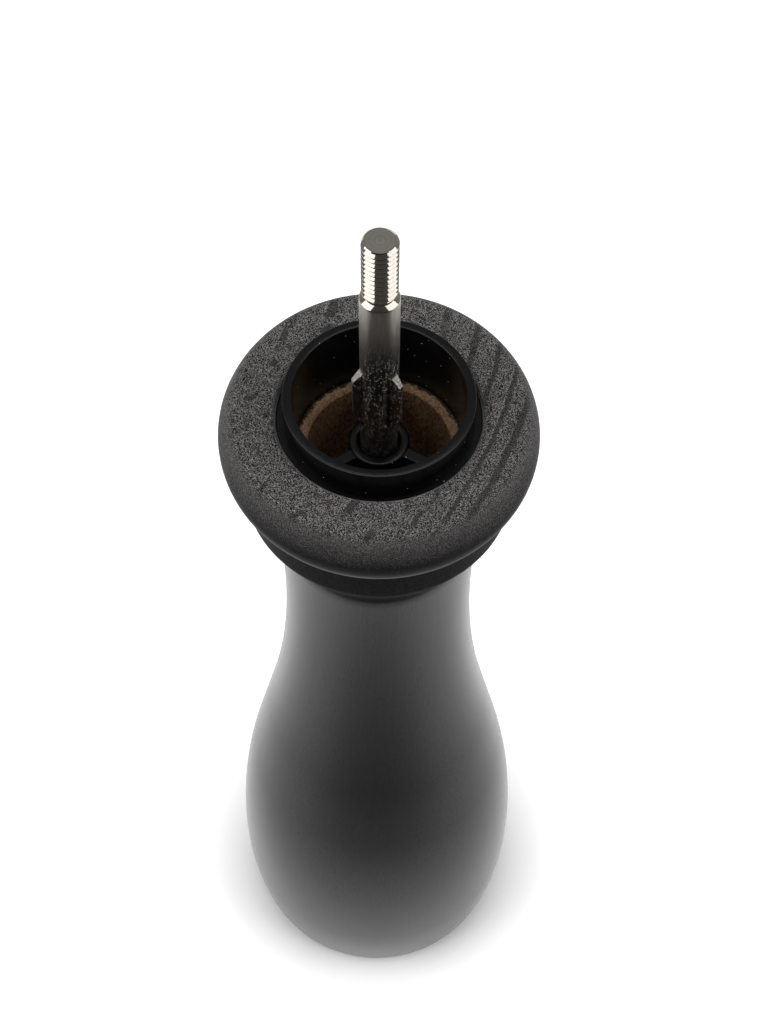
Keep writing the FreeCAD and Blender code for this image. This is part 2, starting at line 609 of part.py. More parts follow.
def make_grinding_ring():
    """The hardened ring round the cone: feeding teeth above, fine teeth below, keys outside."""
    floor, middle, top = size(BRIDGE_TOP), size(TEETH_MIDDLE), size(CONE_TOP)
    gap, fine, feed = (VALUE[k] for k in ("grinding_gap", "fine_depth", "ring_tooth"))
    outer, mouth, skirt = size(RING_OUTER), size(RING_MOUTH), size(RING_SKIRT)
    throat = VALUE["cone_middle_radius"] + gap
    twist = VALUE["fine_turn"] / VALUE["fine_height"]
    blank = Part.makeCylinder(outer, top - floor, FreeCAD.Vector(0, 0, floor))
    key = Part.makeBox(VALUE["key_height"] * 2, VALUE["key_width"], top - floor,
                       FreeCAD.Vector(outer - VALUE["key_height"], -VALUE["key_width"] / 2, floor))
    keys = []
    for turn in range(VALUE["spoke_count"]):
        copy = key.copy()
        copy.rotate(FreeCAD.Vector(0, 0, 0), FreeCAD.Vector(0, 0, 1),
                    VALUE["spoke_azimuth"] + 360.0 * turn / VALUE["spoke_count"])
        keys.append(copy)
    lower = helical(VALUE["fine_count"], [
        (skirt, skirt + fine, floor, twist * (middle - floor)),
        (throat, throat + fine, middle, 0.0),
    ])
    upper = helical(VALUE["feed_count"], list(between(
        (throat, throat + feed, middle, 0.0),
        (mouth, mouth + feed, top, VALUE["feed_turn"]), FEED_STEPS)))
    ring = blank.fuse(keys).cut(lower).cut(upper)
    return shape_of("grinding_ring", ring.removeSplitter())


# Cage, bridge and the small pieces under the cone

def screw_places():
    """Each kind of screw: name, place of the first one and the height of its head's underside."""
    return [
        ("Bridge", SCREW_CIRCLE, "0", "bridge_lift"),
        ("Cage", "0", SCREW_CIRCLE, BRIDGE_TOP),
    ]


def make_mechanism_cage():
    """The moulded cage in the base, which holds the ring and steadies the shaft over the spring."""
    body = new_body("mechanism_cage", "spoke_azimuth")
    lip, lip_bottom = "chamber_radius + guide_clearance", f"{CAGE_TOP} - cage_lip"
    revolved(body, "Wall", [
        (CAGE_BORE, BRIDGE_TOP), (CAGE_FLANGE, BRIDGE_TOP), (CAGE_FLANGE, FLANGE_TOP),
        (CAGE_RADIUS, FLANGE_TOP), (CAGE_RADIUS, CAGE_TOP), (lip, CAGE_TOP), (lip, lip_bottom),
        (CAGE_THROAT, lip_bottom), (CAGE_THROAT, CONE_TOP), (CAGE_BORE, CONE_TOP),
    ])
    sketch = sketch_on(body, "ArmOutline", "XY_Plane", ARM_BOTTOM)
    rectangle(sketch, "(shaft_radius + guide_clearance + cage_hub_radius) / 2", "-arm_width / 2",
              f"{CAGE_THROAT} + cage_wall / 2", "arm_width / 2")
    arm = pad(body, "Arm", sketch, "arm_height")
    around(body, "Arms", arm, "spoke_count")
    revolved(body, "Hub", [(GUIDE_BORE, ARM_BOTTOM), ("cage_hub_radius", ARM_BOTTOM),
                           ("cage_hub_radius", CAGE_TOP), (GUIDE_BORE, CAGE_TOP)])
    sketch = sketch_on(body, "KeywayOutline", "XY_Plane", BRIDGE_TOP)
    rectangle(sketch, f"{RING_OUTER} - key_height", "-key_width / 2 - press_clearance",
              f"{RING_OUTER} + key_height + press_clearance", "key_width / 2 + press_clearance")
    keyway = pocket(body, "Keyway", sketch, f"{CONE_TOP} - {BRIDGE_TOP}")
    around(body, "Keyways", keyway, "spoke_count")
    # The screws keep to the row's own X and Y, so their holes turn back by the cage's azimuth
    for name, x_words, y_words, head_top in screw_places():
        sketch = sketch_on(body, f"{name}HoleOutline", "XY_Plane", BRIDGE_TOP)
        sketch.setExpression("AttachmentOffset.Rotation.Angle", bound("-spoke_azimuth"))
        circle(sketch, "screw_radius + screw_clearance", x_words, y_words)
        hole = pocket(body, f"{name}Hole", sketch, "cage_flange_thickness")
        around(body, f"{name}Holes", hole, "screw_count")
    return body


def make_lower_bridge():
    """The steel strap across the base, which carries the bush and holds the ring in."""
    body = new_body("lower_bridge")
    sketch = sketch_on(body, "StrapOutline", "XY_Plane", "bridge_lift")
    circle(sketch, CAGE_FLANGE)
    pad(body, "Disc", sketch, "bridge_thickness")
    for side, name in ((1, "Left"), (-1, "Right")):
        trim = sketch_on(body, name + "Outline", "XY_Plane", "bridge_lift")
        near, far = f"{side} * bridge_width / 2", f"{side} * {CAGE_FLANGE} * 2"
        rectangle(trim, f"-{CAGE_FLANGE} * 2", near, f"{CAGE_FLANGE} * 2", far)
        pocket(body, name, trim, "bridge_thickness")
    sketch = sketch_on(body, "BushOutline", "XY_Plane", "bridge_lift")
    circle(sketch, "bush_radius + press_clearance")
    pocket(body, "BushHole", sketch, "bridge_thickness")
    sketch = sketch_on(body, "ScrewOutline", "XY_Plane", "bridge_lift")
    circle(sketch, "screw_radius + screw_clearance", SCREW_CIRCLE)
    hole = pocket(body, "ScrewHole", sketch, "bridge_thickness")
    around(body, "ScrewHoles", hole, "screw_count")
    return body


def make_bearing_bush():
    """The flanged bush in the strap, in which the journal turns and slides."""
    body = new_body("bearing_bush")
    bore = "journal_radius + running_clearance"
    low = "bridge_lift - bush_tail"
    revolved(body, "Bush", [
        (bore, low), ("bush_radius", low), ("bush_radius", BRIDGE_TOP),
        ("bush_flange_radius", BRIDGE_TOP), ("bush_flange_radius", BUSH_TOP), (bore, BUSH_TOP),
    ])
    return body


def make_retaining_clip():
    """The spring-steel clip that snaps into the shaft's groove under the cone."""
    body = new_body("retaining_clip", "wing_azimuth")
    sketch = sketch_on(body, "ClipOutline", "XY_Plane", BUSH_TOP)
    circle(sketch, "clip_radius")
    circle(sketch, "clip_groove + press_clearance")
    pad(body, "Clip", sketch, "clip_thickness")
    sketch = sketch_on(body, "MouthOutline", "XY_Plane", BUSH_TOP)
    rectangle(sketch, "0", "-clip_mouth / 2", "clip_radius * 2", "clip_mouth / 2")
    pocket(body, "Mouth", sketch, "clip_thickness")
    return body


# Spring

WIRE_STEPS = 20     # straight steps of the wire in a turn
WIRE_SIDES = 8      # flat sides of the wire


def spring_height(turn):
    """Height of the wire's middle after so many turns from the lower end."""
    half_wire = VALUE["spring_wire"] / 2 + VALUE["spring_clearance"]
    low, high = size(WASHER_TOP) + half_wire, size(SEAT_BOTTOM) - half_wire
    turns, close = VALUE["spring_turns"], VALUE["close_pitch"]
    open_pitch = (high - low - 2 * close) / (turns - 2)
    if turn <= 1:
        return low + close * turn
    if turn >= turns - 1:
        return high - close * (turns - turn)
    return low + close + open_pitch * (turn - 1)


def spring_point(turn):
    """Middle of the wire after so many turns."""
    angle = 2 * math.pi * turn
    radius = VALUE["spring_radius"]
    return FreeCAD.Vector(radius * math.cos(angle), radius * math.sin(angle), spring_height(turn))


def spring_way(turn):
    """Direction of the wire after so many turns."""
    step = 1e-3
    ahead = min(turn + step, VALUE["spring_turns"])
    behind = max(turn - step, 0)
    angle = 2 * math.pi * turn
    run = 2 * math.pi * VALUE["spring_radius"] * (ahead - behind)
    rise = spring_height(ahead) - spring_height(behind)
    return FreeCAD.Vector(-math.sin(angle) * run, math.cos(angle) * run, rise).normalize()


def make_compression_spring():
    """The steel spring that pushes the cone down, as one unbroken wire."""
    steps = WIRE_STEPS * VALUE["spring_turns"]
    middles = [spring_point(step / WIRE_STEPS) for step in range(steps + 1)]
    rings = []
    for step, middle in enumerate(middles):
        outward = FreeCAD.Vector(middle.x, middle.y, 0).normalize()
        upward = outward.cross(spring_way(step / WIRE_STEPS))
        ring = []
        for side in range(WIRE_SIDES):
            angle = 2 * math.pi * side / WIRE_SIDES
            away = outward * math.cos(angle) + upward * math.sin(angle)
            ring.append(middle + away * (VALUE["spring_wire"] / 2))
        rings.append(ring)
    print(f"spring: least gap between turns {least_gap(middles):.2f} mm")
    return shape_of("compression_spring", skin(rings))


def least_gap(points):
    """Clear room between the wire's turns, measured on points half a turn or more apart."""
    nearest = min((points[i] - points[j]).Length
                  for i in range(len(points)) for j in range(i + WIRE_STEPS // 2, len(points)))
    return nearest - VALUE["spring_wire"]


# Screws

def make_screws(label, x_words, y_words, head_top):
    """Slotted wood screws of one kind, driven upwards, as separate solids of one group."""
    body = doc.addObject("PartDesign::Body", label + "_one")
    top = f"({head_top} + screw_length)"
    revolved(body, "Screw", [
        ("0", f"{head_top} - screw_head_height"), ("screw_head_radius", f"{head_top} - screw_head_height"),
        ("screw_head_radius", head_top), ("screw_radius - screw_clearance", head_top),
        ("screw_radius - screw_clearance", f"{top} - screw_point"), ("0", top),
    ])
    sketch = sketch_on(body, "SlotOutline", "XY_Plane", f"{head_top} - screw_head_height")
    rectangle(sketch, "-screw_head_radius * 2", "-screw_slot / 2", "screw_head_radius * 2", "screw_slot / 2")
    pocket(body, "Slot", sketch, "screw_slot_depth")
    solids = []
    for number in range(VALUE["screw_count"]):
        copy = body.Shape.copy()
        copy.translate(FreeCAD.Vector(size(x_words), size(y_words), 0))
        copy.rotate(FreeCAD.Vector(0, 0, 0), FreeCAD.Vector(0, 0, 1), 360.0 * number / VALUE["screw_count"])
        solids.append(copy)
    return shape_of(label, Part.makeCompound(solids))


# Assembly

pieces = [
    make_wooden_body(),
    make_guide_collar(),
    make_drive_shaft(),
    make_mechanism_cage(),
    make_grinding_ring(),
    make_grinding_cone(),
    ring_of("thrust_washer", GUIDE_BORE, "washer_radius", CONE_TOP, WASHER_TOP),
    make_compression_spring(),
    ring_of("spring_seat_washer", GUIDE_BORE, "seat_radius", SEAT_BOTTOM, ARM_BOTTOM),
    make_lower_bridge(),
    make_bearing_bush(),
    make_retaining_clip(),
]
for name, x_words, y_words, head_top in screw_places():
    pieces.append(make_screws(f"{name.lower()}_screws", x_words, y_words, head_top))
doc.recompute()

for item in doc.Objects:
    if "Invalid" in item.State or "Error" in item.State:
        raise RuntimeError(f"{item.Label} failed: {item.State}")
for piece in pieces:
    if piece.Shape.isNull() or not piece.Shape.isValid():
        raise RuntimeError(f"{piece.Label} has no valid shape")
os.makedirs("parts", exist_ok=True)
for piece in pieces:
    piece.Shape.exportStep(f"parts/{piece.Label}.step")
    print(f"{piece.Label}: {len(piece.Shape.Solids)} solid, {piece.Shape.Volume:.1f} mm3")
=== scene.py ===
import math

import bmesh
import bpy
from mathutils import Matrix, Vector


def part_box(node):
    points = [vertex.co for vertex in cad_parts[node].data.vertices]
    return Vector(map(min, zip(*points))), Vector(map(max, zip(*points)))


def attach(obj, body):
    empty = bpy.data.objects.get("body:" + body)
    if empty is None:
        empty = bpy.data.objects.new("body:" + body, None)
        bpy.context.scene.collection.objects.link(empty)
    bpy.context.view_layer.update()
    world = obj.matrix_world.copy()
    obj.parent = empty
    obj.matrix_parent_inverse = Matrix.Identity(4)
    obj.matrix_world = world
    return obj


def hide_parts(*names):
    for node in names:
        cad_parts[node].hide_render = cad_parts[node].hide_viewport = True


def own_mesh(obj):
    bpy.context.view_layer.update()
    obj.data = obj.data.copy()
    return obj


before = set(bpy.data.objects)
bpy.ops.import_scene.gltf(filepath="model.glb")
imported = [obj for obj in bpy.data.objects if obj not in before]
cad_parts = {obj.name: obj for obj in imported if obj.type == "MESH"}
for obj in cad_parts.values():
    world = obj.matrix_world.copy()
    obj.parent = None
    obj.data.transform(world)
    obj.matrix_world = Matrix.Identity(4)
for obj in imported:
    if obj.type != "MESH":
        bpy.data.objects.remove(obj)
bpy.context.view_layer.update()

bl_info = {
    "name": "Wooden pepper mill",
    "version": (1, 0, 0),
    "blender": (4, 5, 0),
    "location": "View3D > Sidebar > Mill",
    "description": "Dresses the solids of a wooden pepper mill that stands with its turning top off",
    "category": "Object",
}

MM = 0.001
SHARP = math.radians(33)
MERGE = 1e-6
# Steps of a full turn
WOOD_STEPS = 256
COLLAR_STEPS = 192
HUB_STEPS = 128
ROD_STEPS = 96
JOURNAL_STEPS = 64
THREAD_STEPS = 64
COIL_STEPS = 40
WIRE_STEPS = 14
# Shares of the pitch where the thread's flank reaches the crest, leaves it and reaches the root
CREST_START = 0.375
CREST_END = 0.5
ROOT_START = 0.875


# Properties

def linear(hex_colour):
    """Linear red, green, blue and alpha of an sRGB hex colour."""
    shares = [int(hex_colour[place:place + 2], 16) / 255 for place in (1, 3, 5)]
    return [s / 12.92 if s <= 0.04045 else ((s + 0.055) / 1.055) ** 2.4 for s in shares] + [1.0]


def length(name, millimetres, description):
    """A length that a user may change, kept in metres."""
    return bpy.props.FloatProperty(name=name, description=description, default=millimetres * MM,
                                   precision=5, unit="LENGTH")


def angle(name, degrees, description):
    """An angle that a user may change, kept in radians."""
    return bpy.props.FloatProperty(name=name, description=description, default=math.radians(degrees),
                                   subtype="ANGLE")


def share(name, value, description):
    """A plain number that a user may change."""
    return bpy.props.FloatProperty(name=name, description=description, default=value, subtype="FACTOR")


def count(name, value, description):
    """A number of equal pieces."""
    return bpy.props.IntProperty(name=name, description=description, default=value, min=1)


def colour(name, hex_colour, description):
    """A colour that a user may change."""
    return bpy.props.FloatVectorProperty(name=name, description=description, default=linear(hex_colour),
                                         size=4, min=0, max=1, subtype="COLOR")


class WoodSizes(bpy.types.PropertyGroup):
    """Outline of the turned body. Depths are counted from the flat top, heights from the base."""

    height: length("Height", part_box("wooden_body")[1].z / MM, "Base to flat top")
    ring_radius: length("Ring radius", 23.7, "Widest part of the ring at the mouth")
    ring_middle: length("Ring middle", 5.2, "Depth of that widest part")
    ring_side: length("Ring side", 8.0, "Radius of the ring's bulging side")
    ring_corner: length("Ring corner", 1.6, "Rounding from the flat top to the side")
    ring_length: length("Ring length", 9.6, "Depth of the ring's lower edge")
    groove_radius: length("Groove radius", 19.7, "Root of the turned groove")
    groove_width: length("Groove width", 1.7, "Height of the groove")
    bead_radius: length("Bead radius", 20.6, "Straight bead under the groove")
    bead_length: length("Bead length", 7.0, "Height of the bead")
    cove_drop: length("Cove drop", 1.6, "Height of the bead's underside")
    cove_radius: length("Cove radius", 18.0, "Radius where the cove starts")
    cove_curve: length("Cove curve", 13.0, "Radius of the cove in section")
    neck_depth: length("Neck depth", 29.0, "Depth where the cove ends")
    waist_radius: length("Waist radius", 15.6, "Narrowest part of the neck")
    waist_depth: length("Waist depth", 44.7, "Depth of the waist")
    flank_length: length("Flank length", 18.4, "Straight part between neck and bulb")
    hollow_share: share("Hollow share", 0.54, "The neck's share of the radii of neck and bulb")
    bulb_radius: length("Bulb radius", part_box("wooden_body")[1].x / MM, "Widest part of the body")
    bulb_height: length("Bulb height", 20.4, "Height of that widest part")
    foot_curve: length("Foot curve", 124.0, "Radius of the bulb under its widest part")
    edge_break: length("Edge break", 0.6, "Softened edges of foot and mouth")
    recess_radius: length("Recess radius", 22.74, "Recess for the cage's flange")
    recess_height: length("Recess height", 5.2, "Height of that recess")
    cage_bore: length("Cage bore", 18.18, "Bore for the cage")
    cage_ceiling: length("Cage ceiling", 40.2, "Height of that bore")
    chamber_radius: length("Chamber radius", 10.8, "Bore for the peppercorns")
    ledge_height: length("Ledge height", 168.06, "Ledge under the collar")
    seat_radius: length("Seat radius", 13.96, "Bore that holds the collar")
    seat_height: length("Seat height", 173.6, "Seat of the collar's flange")
    mouth_radius: length("Mouth radius", 15.12, "Bore round the collar's flange")
    bead_edge: length("Bead edge", 0.5, "Rounding of the bead's upper edge")
    ledge_edge: length("Ledge edge", 0.4, "Rounding of the ledge's inner edge")


class CollarSizes(bpy.types.PropertyGroup):
    """The moulded collar in the mouth."""

    radius: length("Radius", 13.92, "Outside of the wall")
    wall: length("Wall", 1.4, "Thickness of the wall")
    bottom: length("Bottom", 168.1, "Height of the lower end")
    rim: length("Rim", 181.0, "Height of the rim")
    flange_radius: length("Flange radius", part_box("guide_collar")[1].x / MM, "Outside of the flange")
    flange_low: length("Flange low", 173.6, "Height of the flange's underside")
    flange_high: length("Flange high", 175.6, "Height of the flange's top")
    hub_radius: length("Hub radius", 4.6, "Hub that guides the shaft")
    hub_bore: length("Hub bore", 3.08, "Hole in the hub")
    hub_low: length("Hub low", 165.3, "Height of the hub's lower end")
    hub_high: length("Hub high", 169.7, "Height of the hub's upper end")
    spoke_width: length("Spoke width", 1.8, "Width of a spoke")
    spoke_count: count("Spokes", 3, "Spokes of the collar")
    spoke_azimuth: angle("Spoke azimuth", 92.0, "Direction of the first spoke")
    edge: length("Edge", 0.2, "Rounding of the moulded edges")


class ShaftSizes(bpy.types.PropertyGroup):
    """The drive shaft."""

    radius: length("Radius", 2.78, "Plain rod")
    tip: length("Tip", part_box("drive_shaft")[1].z / MM, "Height of the tip")
    thread_radius: length("Thread radius", 2.5, "Outside of the thread")
    thread_pitch: length("Thread pitch", 0.88, "Rise of one turn")
    thread_depth: length("Thread depth", 0.46, "Depth of the thread")
    thread_length: length("Thread length", 10.3, "Length of the thread")
    tip_chamfer: length("Tip chamfer", 0.36, "Chamfer of the tip")
    shoulder: length("Shoulder", 0.5, "Chamfer from the rod to the relief")
    shoulder_edge: length("Shoulder edge", 0.12, "Rounding of that chamfer's lower edge")
    relief_length: length("Relief length", 0.45, "Turned groove under the thread")
    dimple: length("Dimple", 0.55, "Radius of the mark in the middle of the tip")
    dimple_depth: length("Dimple depth", 0.12, "Depth of that mark")
    wing_radius: length("Wing radius", 4.05, "Outer edge of a wing")
    wing_root: length("Wing root", 1.26, "Thickness of a wing at the rod")
    wing_edge: length("Wing edge", 0.74, "Thickness of a wing at its outer edge")
    wing_low: length("Wing low", 175.5, "Height of a wing's lower end")
    wing_high: length("Wing high", 187.9, "Height of a wing's upper end")
    wing_slope_low: length("Lower slope", 3.1, "Height of the lower sheared face")
    wing_slope_high: length("Upper slope", 1.5, "Height of the upper sheared face")
    wing_rounding: length("Wing rounding", 0.1, "Rounding of a wing's edges")
    wing_count: count("Wings", 3, "Wings round the shaft")
    wing_azimuth: angle("Wing azimuth", -40.0, "Direction of the first wing")
    dent_depth: length("Dent depth", 0.6, "Depth of the flat beside a wing")
    dent_low: length("Dent low", 176.0, "Height of that flat's lower end")
    dent_high: length("Dent high", 186.2, "Height of that flat's upper end")
    dent_slope: length("Dent slope", 1.2, "Height of the flat's sloping ends")
    dent_gap: length("Dent gap", 0.02, "Strip left between a wing and its flat")
    overlap: length("Overlap", 0.3, "How far the pieces of the shaft reach into each other")
    tang: length("Tang", 4.0, "Width of the square tang")
    tang_low: length("Tang low", 5.0, "Height of the tang's lower end")
    tang_high: length("Tang high", 21.0, "Height of the tang's upper end")
    journal_radius: length("Journal radius", 2.0, "Lower end of the shaft")
    journal_low: length("Journal low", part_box("drive_shaft")[0].z / MM, "Height of the lower end")
    clip_low: length("Clip groove", 4.2, "Height of the clip's groove")
    clip_radius: length("Clip groove radius", 1.55, "Root of the clip's groove")


class SpringSizes(bpy.types.PropertyGroup):
    """The spring over the grinding cone."""

    radius: length("Radius", 3.9, "Middle of the wire from the axis")
    wire: length("Wire", 0.9, "Diameter of the wire")
    low: length("Low", 22.55, "Height of the wire's lower end")
    high: length("High", 34.65, "Height of the wire's upper end")
    close_pitch: length("Close pitch", 1.4, "Rise of a close turn at each end")
    turns: count("Turns", 6, "Turns, close ones included")
    seat: length("Seat", 35.2, "Height of the washer that the spring pushes against")


class Finishes(bpy.types.PropertyGroup):
    """Colours of the materials."""

    stain: colour("Stain", "#0e0d0d", "Black stain on the long grain")
    stain_streak: colour("Streaks", "#151414", "Paler streaks in the long grain")
    pore: colour("Pores", "#1f1e1e", "Open pores in the end grain")
    fibre: colour("Fibres", "#454343", "Stained fibre ends")
    # Pale fibre colour: partly worn fibre ends, partly a painted glint; it is also the painted groove
    # highlight
    fibre_tip_and_glint: colour("Fibre tips", "#9a9693", "Worn fibre ends that catch the light")
    raw_dark: colour("Dark raw wood", "#5a4230", "Late wood in the bore")
    raw_pale: colour("Pale raw wood", "#86694c", "Early wood in the bore")
    raw_edge: colour("Torn edge", "#8a745e", "Torn fibres on the ledge under the collar")
    plastic: colour("Black plastic", "#0c0b0b", "Guide collar")
    dust: colour("Dust", "#b9b6b0", "Flecks of pepper dust")
    nylon: colour("Nylon", "#1c1c1d", "Mechanism cage")
    stainless: colour("Stainless steel", "#b5aea5", "Drive shaft")
    # Colour of the painted shade on the rod under its shoulder
    rod_shade: colour("Oil", "#1a1815", "Dark film under the shaft's shoulder")
    hardened: colour("Hardened steel", "#6d6c6b", "Grinding cone and ring")
    zinc: colour("Zinc", "#b3b6ba", "Plated strap, washers and screws")
    wire: colour("Spring steel", "#84847f", "Spring and clip")
    brass: colour("Brass", "#c39a4f", "Bush")


class StageSettings(bpy.types.PropertyGroup):
    """Camera, floor and light."""

    elevation: angle("Elevation", 58.594, "How far the camera looks down")
    aim: length("Aim", 149.03, "Height on the axis that the camera looks at")
    distance: length("Distance", 266.67, "Camera to that point")
    roll: angle("Roll", 0.34, "Turn of the picture")
    lens: bpy.props.FloatProperty(name="Lens", description="Focal length in millimetres", default=58.996)
    shift: share("Shift", 0.00537, "Sideways shift of the picture")
    room_front: share("Front", 0.06, "Light of the room behind the camera")
    room_back: share("Back", 0.42, "Light of the room behind the mill")
    floor: colour("Floor", "#f4f4f4", "Floor")
    floor_reach: length("Floor reach", 4000.0, "Middle of the floor to its sides")
    lift: share("Lift", 0.35, "How much brighter than its light the camera sees the floor")
    lift_start: length("Lift start", 28.0, "Distance from the axis where that starts")
    lift_full: length("Lift full", 40.0, "Distance from the axis where it is full")
    white_start: length("White start", 300.0, "Distance from the axis where the floor turns white")
    white_full: length("White full", 1200.0, "Distance from the axis where it is white")
    # Where the painted dark reflection of the floor before the mill starts and where it is full
    dark_reflection_start: length("Card fade", 60.0, "How far before the mill the mirrored floor starts to end")
    dark_reflection_full: length("Card end", 120.0, "How far before the mill the mirrored floor ends")


# Shapes

class Outline:
    """A line in the XZ plane, drawn on from its last vertex, that a spin turns into a surface."""

    def __init__(self, x, z):
        self.shape = bmesh.new()
        self.first = self.last = self.shape.verts.new((x, 0, z))

    def line(self, x, z, runs=1):
        """Goes straight on to a point, in equal runs."""
        start, end = self.last.co.copy(), Vector((x, 0, z))
        for run in range(1, runs + 1):
            self.last = bmesh.ops.extrude_vert_indiv(self.shape, verts=[self.last])["verts"][0]
            self.last.co = start.lerp(end, run / runs)
        return self

    def arc(self, x, z, turn, steps):
        """Goes round a middle by an angle, counter-clockwise seen from the front."""
        grown = bmesh.ops.spin(self.shape, geom=[self.last], cent=(x, 0, z), axis=(0, -1, 0),
                               angle=turn, steps=steps)
        self.last = next(item for item in grown["geom_last"] if isinstance(item, bmesh.types.BMVert))
        return self

    def close(self):
        """Goes straight back to the first vertex."""
        self.shape.edges.new((self.last, self.first))
        return self

    def turned(self, steps):
        """The surface that the line makes in a full turn about the shaft's axis."""
        bmesh.ops.spin(self.shape, geom=[*self.shape.verts, *self.shape.edges], cent=(0, 0, 0),
                       axis=(0, 0, 1), angle=math.tau, steps=steps, use_merge=True)
        return closed(self.shape)


def closed(shape):
    """The shape with its doubles merged, its faces outward and only its sharp edges sharp."""
    bmesh.ops.remove_doubles(shape, verts=shape.verts[:], dist=MERGE)
    bmesh.ops.recalc_face_normals(shape, faces=shape.faces[:])
    for face in shape.faces:
        face.smooth = True
    for edge in shape.edges:
        edge.smooth = edge.calc_face_angle(0) < SHARP
    return shape


def capped(shape):
    """The shape with its open ends filled."""
    bmesh.ops.holes_fill(shape, edges=[edge for edge in shape.edges if edge.is_boundary], sides=0)
    return closed(shape)


def rounded(shape, edges, offset, segments=3):
    """The shape with these edges rounded over."""
    bmesh.ops.bevel(shape, geom=list(edges), offset=offset, offset_type="OFFSET", affect="EDGES",
                    segments=segments, profile=0.5, material=-1, clamp_overlap=True)
    return closed(shape)


def hoops(shape, *spots):
    """The level edges that run round the axis through spots of radius and height."""
    found = []
    for edge in shape.edges:
        ends = [(math.hypot(v.co.x, v.co.y), v.co.z) for v in edge.verts]
        for spot in spots:
            if all(math.dist(end, spot) < 10 * MERGE for end in ends):
                found.append(edge)
    return found


def block(low, high):
    """A box between two corners."""
    shape = bmesh.new()
    bmesh.ops.create_cube(shape, size=1)
    size, middle = Vector(high) - Vector(low), (Vector(high) + Vector(low)) / 2
    bmesh.ops.scale(shape, vec=size, verts=shape.verts[:])
    bmesh.ops.translate(shape, vec=middle, verts=shape.verts[:])
    return shape


def about_axis(shape, turn):
    """The shape turned about the shaft's axis."""
    bmesh.ops.rotate(shape, cent=(0, 0, 0), matrix=Matrix.Rotation(turn, 3, "Z"), verts=shape.verts[:])
    return shape


def around(first, pieces):
    """Directions of pieces that are spread evenly round the axis."""
    return [first + math.tau * number / pieces for number in range(pieces)]


def placed(name, shape):
    """A new object of the scene that takes over the shape."""
    mesh = bpy.data.meshes.new(name)
    shape.to_mesh(mesh)
    shape.free()
    item = bpy.data.objects.new(name, mesh)
    bpy.context.scene.collection.objects.link(item)
    return item


def worked(base, *steps):
    """The base with each pair of an operation and a shape worked into it in turn."""
    holder = placed("base", base)
    tools = []
    for operation, shape in steps:
        tools.append(placed("tool", shape))
        change = holder.modifiers.new(operation, "BOOLEAN")
        change.operation = operation
        change.solver = "EXACT"
        change.object = tools[-1]
    settled = holder.evaluated_get(bpy.context.evaluated_depsgraph_get())
    mesh = bpy.data.meshes.new_from_object(settled)
    shape = bmesh.new()
    shape.from_mesh(mesh)
    for item in (holder, *tools):
        bpy.data.meshes.remove(item.data)
    bpy.data.meshes.remove(mesh)
    if not shape.faces:
        raise RuntimeError("a shape was lost when its pieces were joined")
    return closed(shape)


def piece(name, shape, materials, body, node):
    """A finished shape as a piece that rides on a body and stands for a CAD node."""
    item = placed(name, shape)
    for material in materials:
        item.data.materials.append(material)
    # Large faces decide the shading, so that a rounded edge doesn't bend the light on them
    item.modifiers.new("shading", "WEIGHTED_NORMAL").keep_sharp = True
    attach(item, body)
    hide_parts(node)
    return item


def dress(node, material):
    """Gives a CAD node its finish."""
    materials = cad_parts[node].data.materials
    materials.clear()
    materials.append(material)


# Materials

COLOUR_MIX = {"data_type": "RGBA", "output": 2}
CLOUDY = {"Detail": 3.0, "Roughness": 0.55}
GRITTY = {"Detail": 2.0, "Roughness": 0.55}
STREAKY = {"Detail": 3.0, "Roughness": 0.6}
POROUS = {"Detail": 1.0, "Roughness": 0.6}
MAPPING, NOISE, RANGE = "ShaderNodeMapping", "ShaderNodeTexNoise", "ShaderNodeMapRange"
MATH, MIX, RAMP = "ShaderNodeMath", "ShaderNodeMix", "ShaderNodeValToRGB"
SPLIT, VECTOR, BUMP = "ShaderNodeSeparateXYZ", "ShaderNodeVectorMath", "ShaderNodeBump"


def add(tree, kind, inputs=None, output=0, **settings):
    """Adds a node with its settings, fills its inputs with values or links, and gives one of its outputs."""
    node = tree.nodes.new(kind)
    for name, value in settings.items():
        setattr(node, name, value)
    for key, value in (inputs or {}).items():
        if isinstance(value, bpy.types.NodeSocket):
            tree.links.new(value, node.inputs[key])
        else:
            node.inputs[key].default_value = value
    return node.outputs[output] if node.outputs else None


def new_tree(item):
    """The emptied node tree of a material or a world."""
    item.use_nodes = True
    item.node_tree.nodes.clear()
    return item.node_tree


def new_material(name):
    """A new material, its emptied tree, and the place on the piece that its patterns follow."""
    material = bpy.data.materials.new(name)
    tree = new_tree(material)
    return material, tree, add(tree, "ShaderNodeTexCoord", output="Object")


def surface(tree, **sockets):
    """Ends a material with its shader, whose sockets are named with underscores."""
    inputs = {key.replace("_", " "): value for key, value in sockets.items()}
    shader = add(tree, "ShaderNodeBsdfPrincipled", inputs)
    add(tree, "ShaderNodeOutputMaterial", {"Surface": shader})


def per(millimetres):
    """The scale of a pattern that repeats about every so many millimetres."""
    return 1 / (millimetres * MM)


def darker(rgba, factor):
    """A colour with less light in it."""
    return [factor * value for value in rgba[:3]] + [1.0]


def drawn_out(tree, place, scale, millimetres, noise=CLOUDY):
    """Noise with grains of so many millimetres, drawn out along each axis whose scale is under 1."""
    scaled = add(tree, MAPPING, {"Vector": place, "Scale": scale})
    return add(tree, NOISE, {"Vector": scaled, "Scale": per(millimetres), **noise})


def from_upright(tree, place, x=0.0, y=0.0):
    """Distance from an upright line, which is the shaft's axis or goes through another place."""
    level = add(tree, MAPPING, {"Vector": place, "Location": (-x, -y, 0), "Scale": (1, 1, 0)})
    return add(tree, VECTOR, {0: level}, "Value", operation="LENGTH")


# Growth rings lie about a pith behind and to the left of the mill, with edges so many millimetres from it.
# An edge takes up this share of the way from the first to the last.
PITH = (-64.0, 28.5)
GROWTH_EDGES = (40.0, 46.0, 51.5, 57.0, 62.8, 69.0, 74.4, 79.3, 83.2, 86.5, 89.2, 93.0, 100.0)
EDGE_SHARE = 0.0015


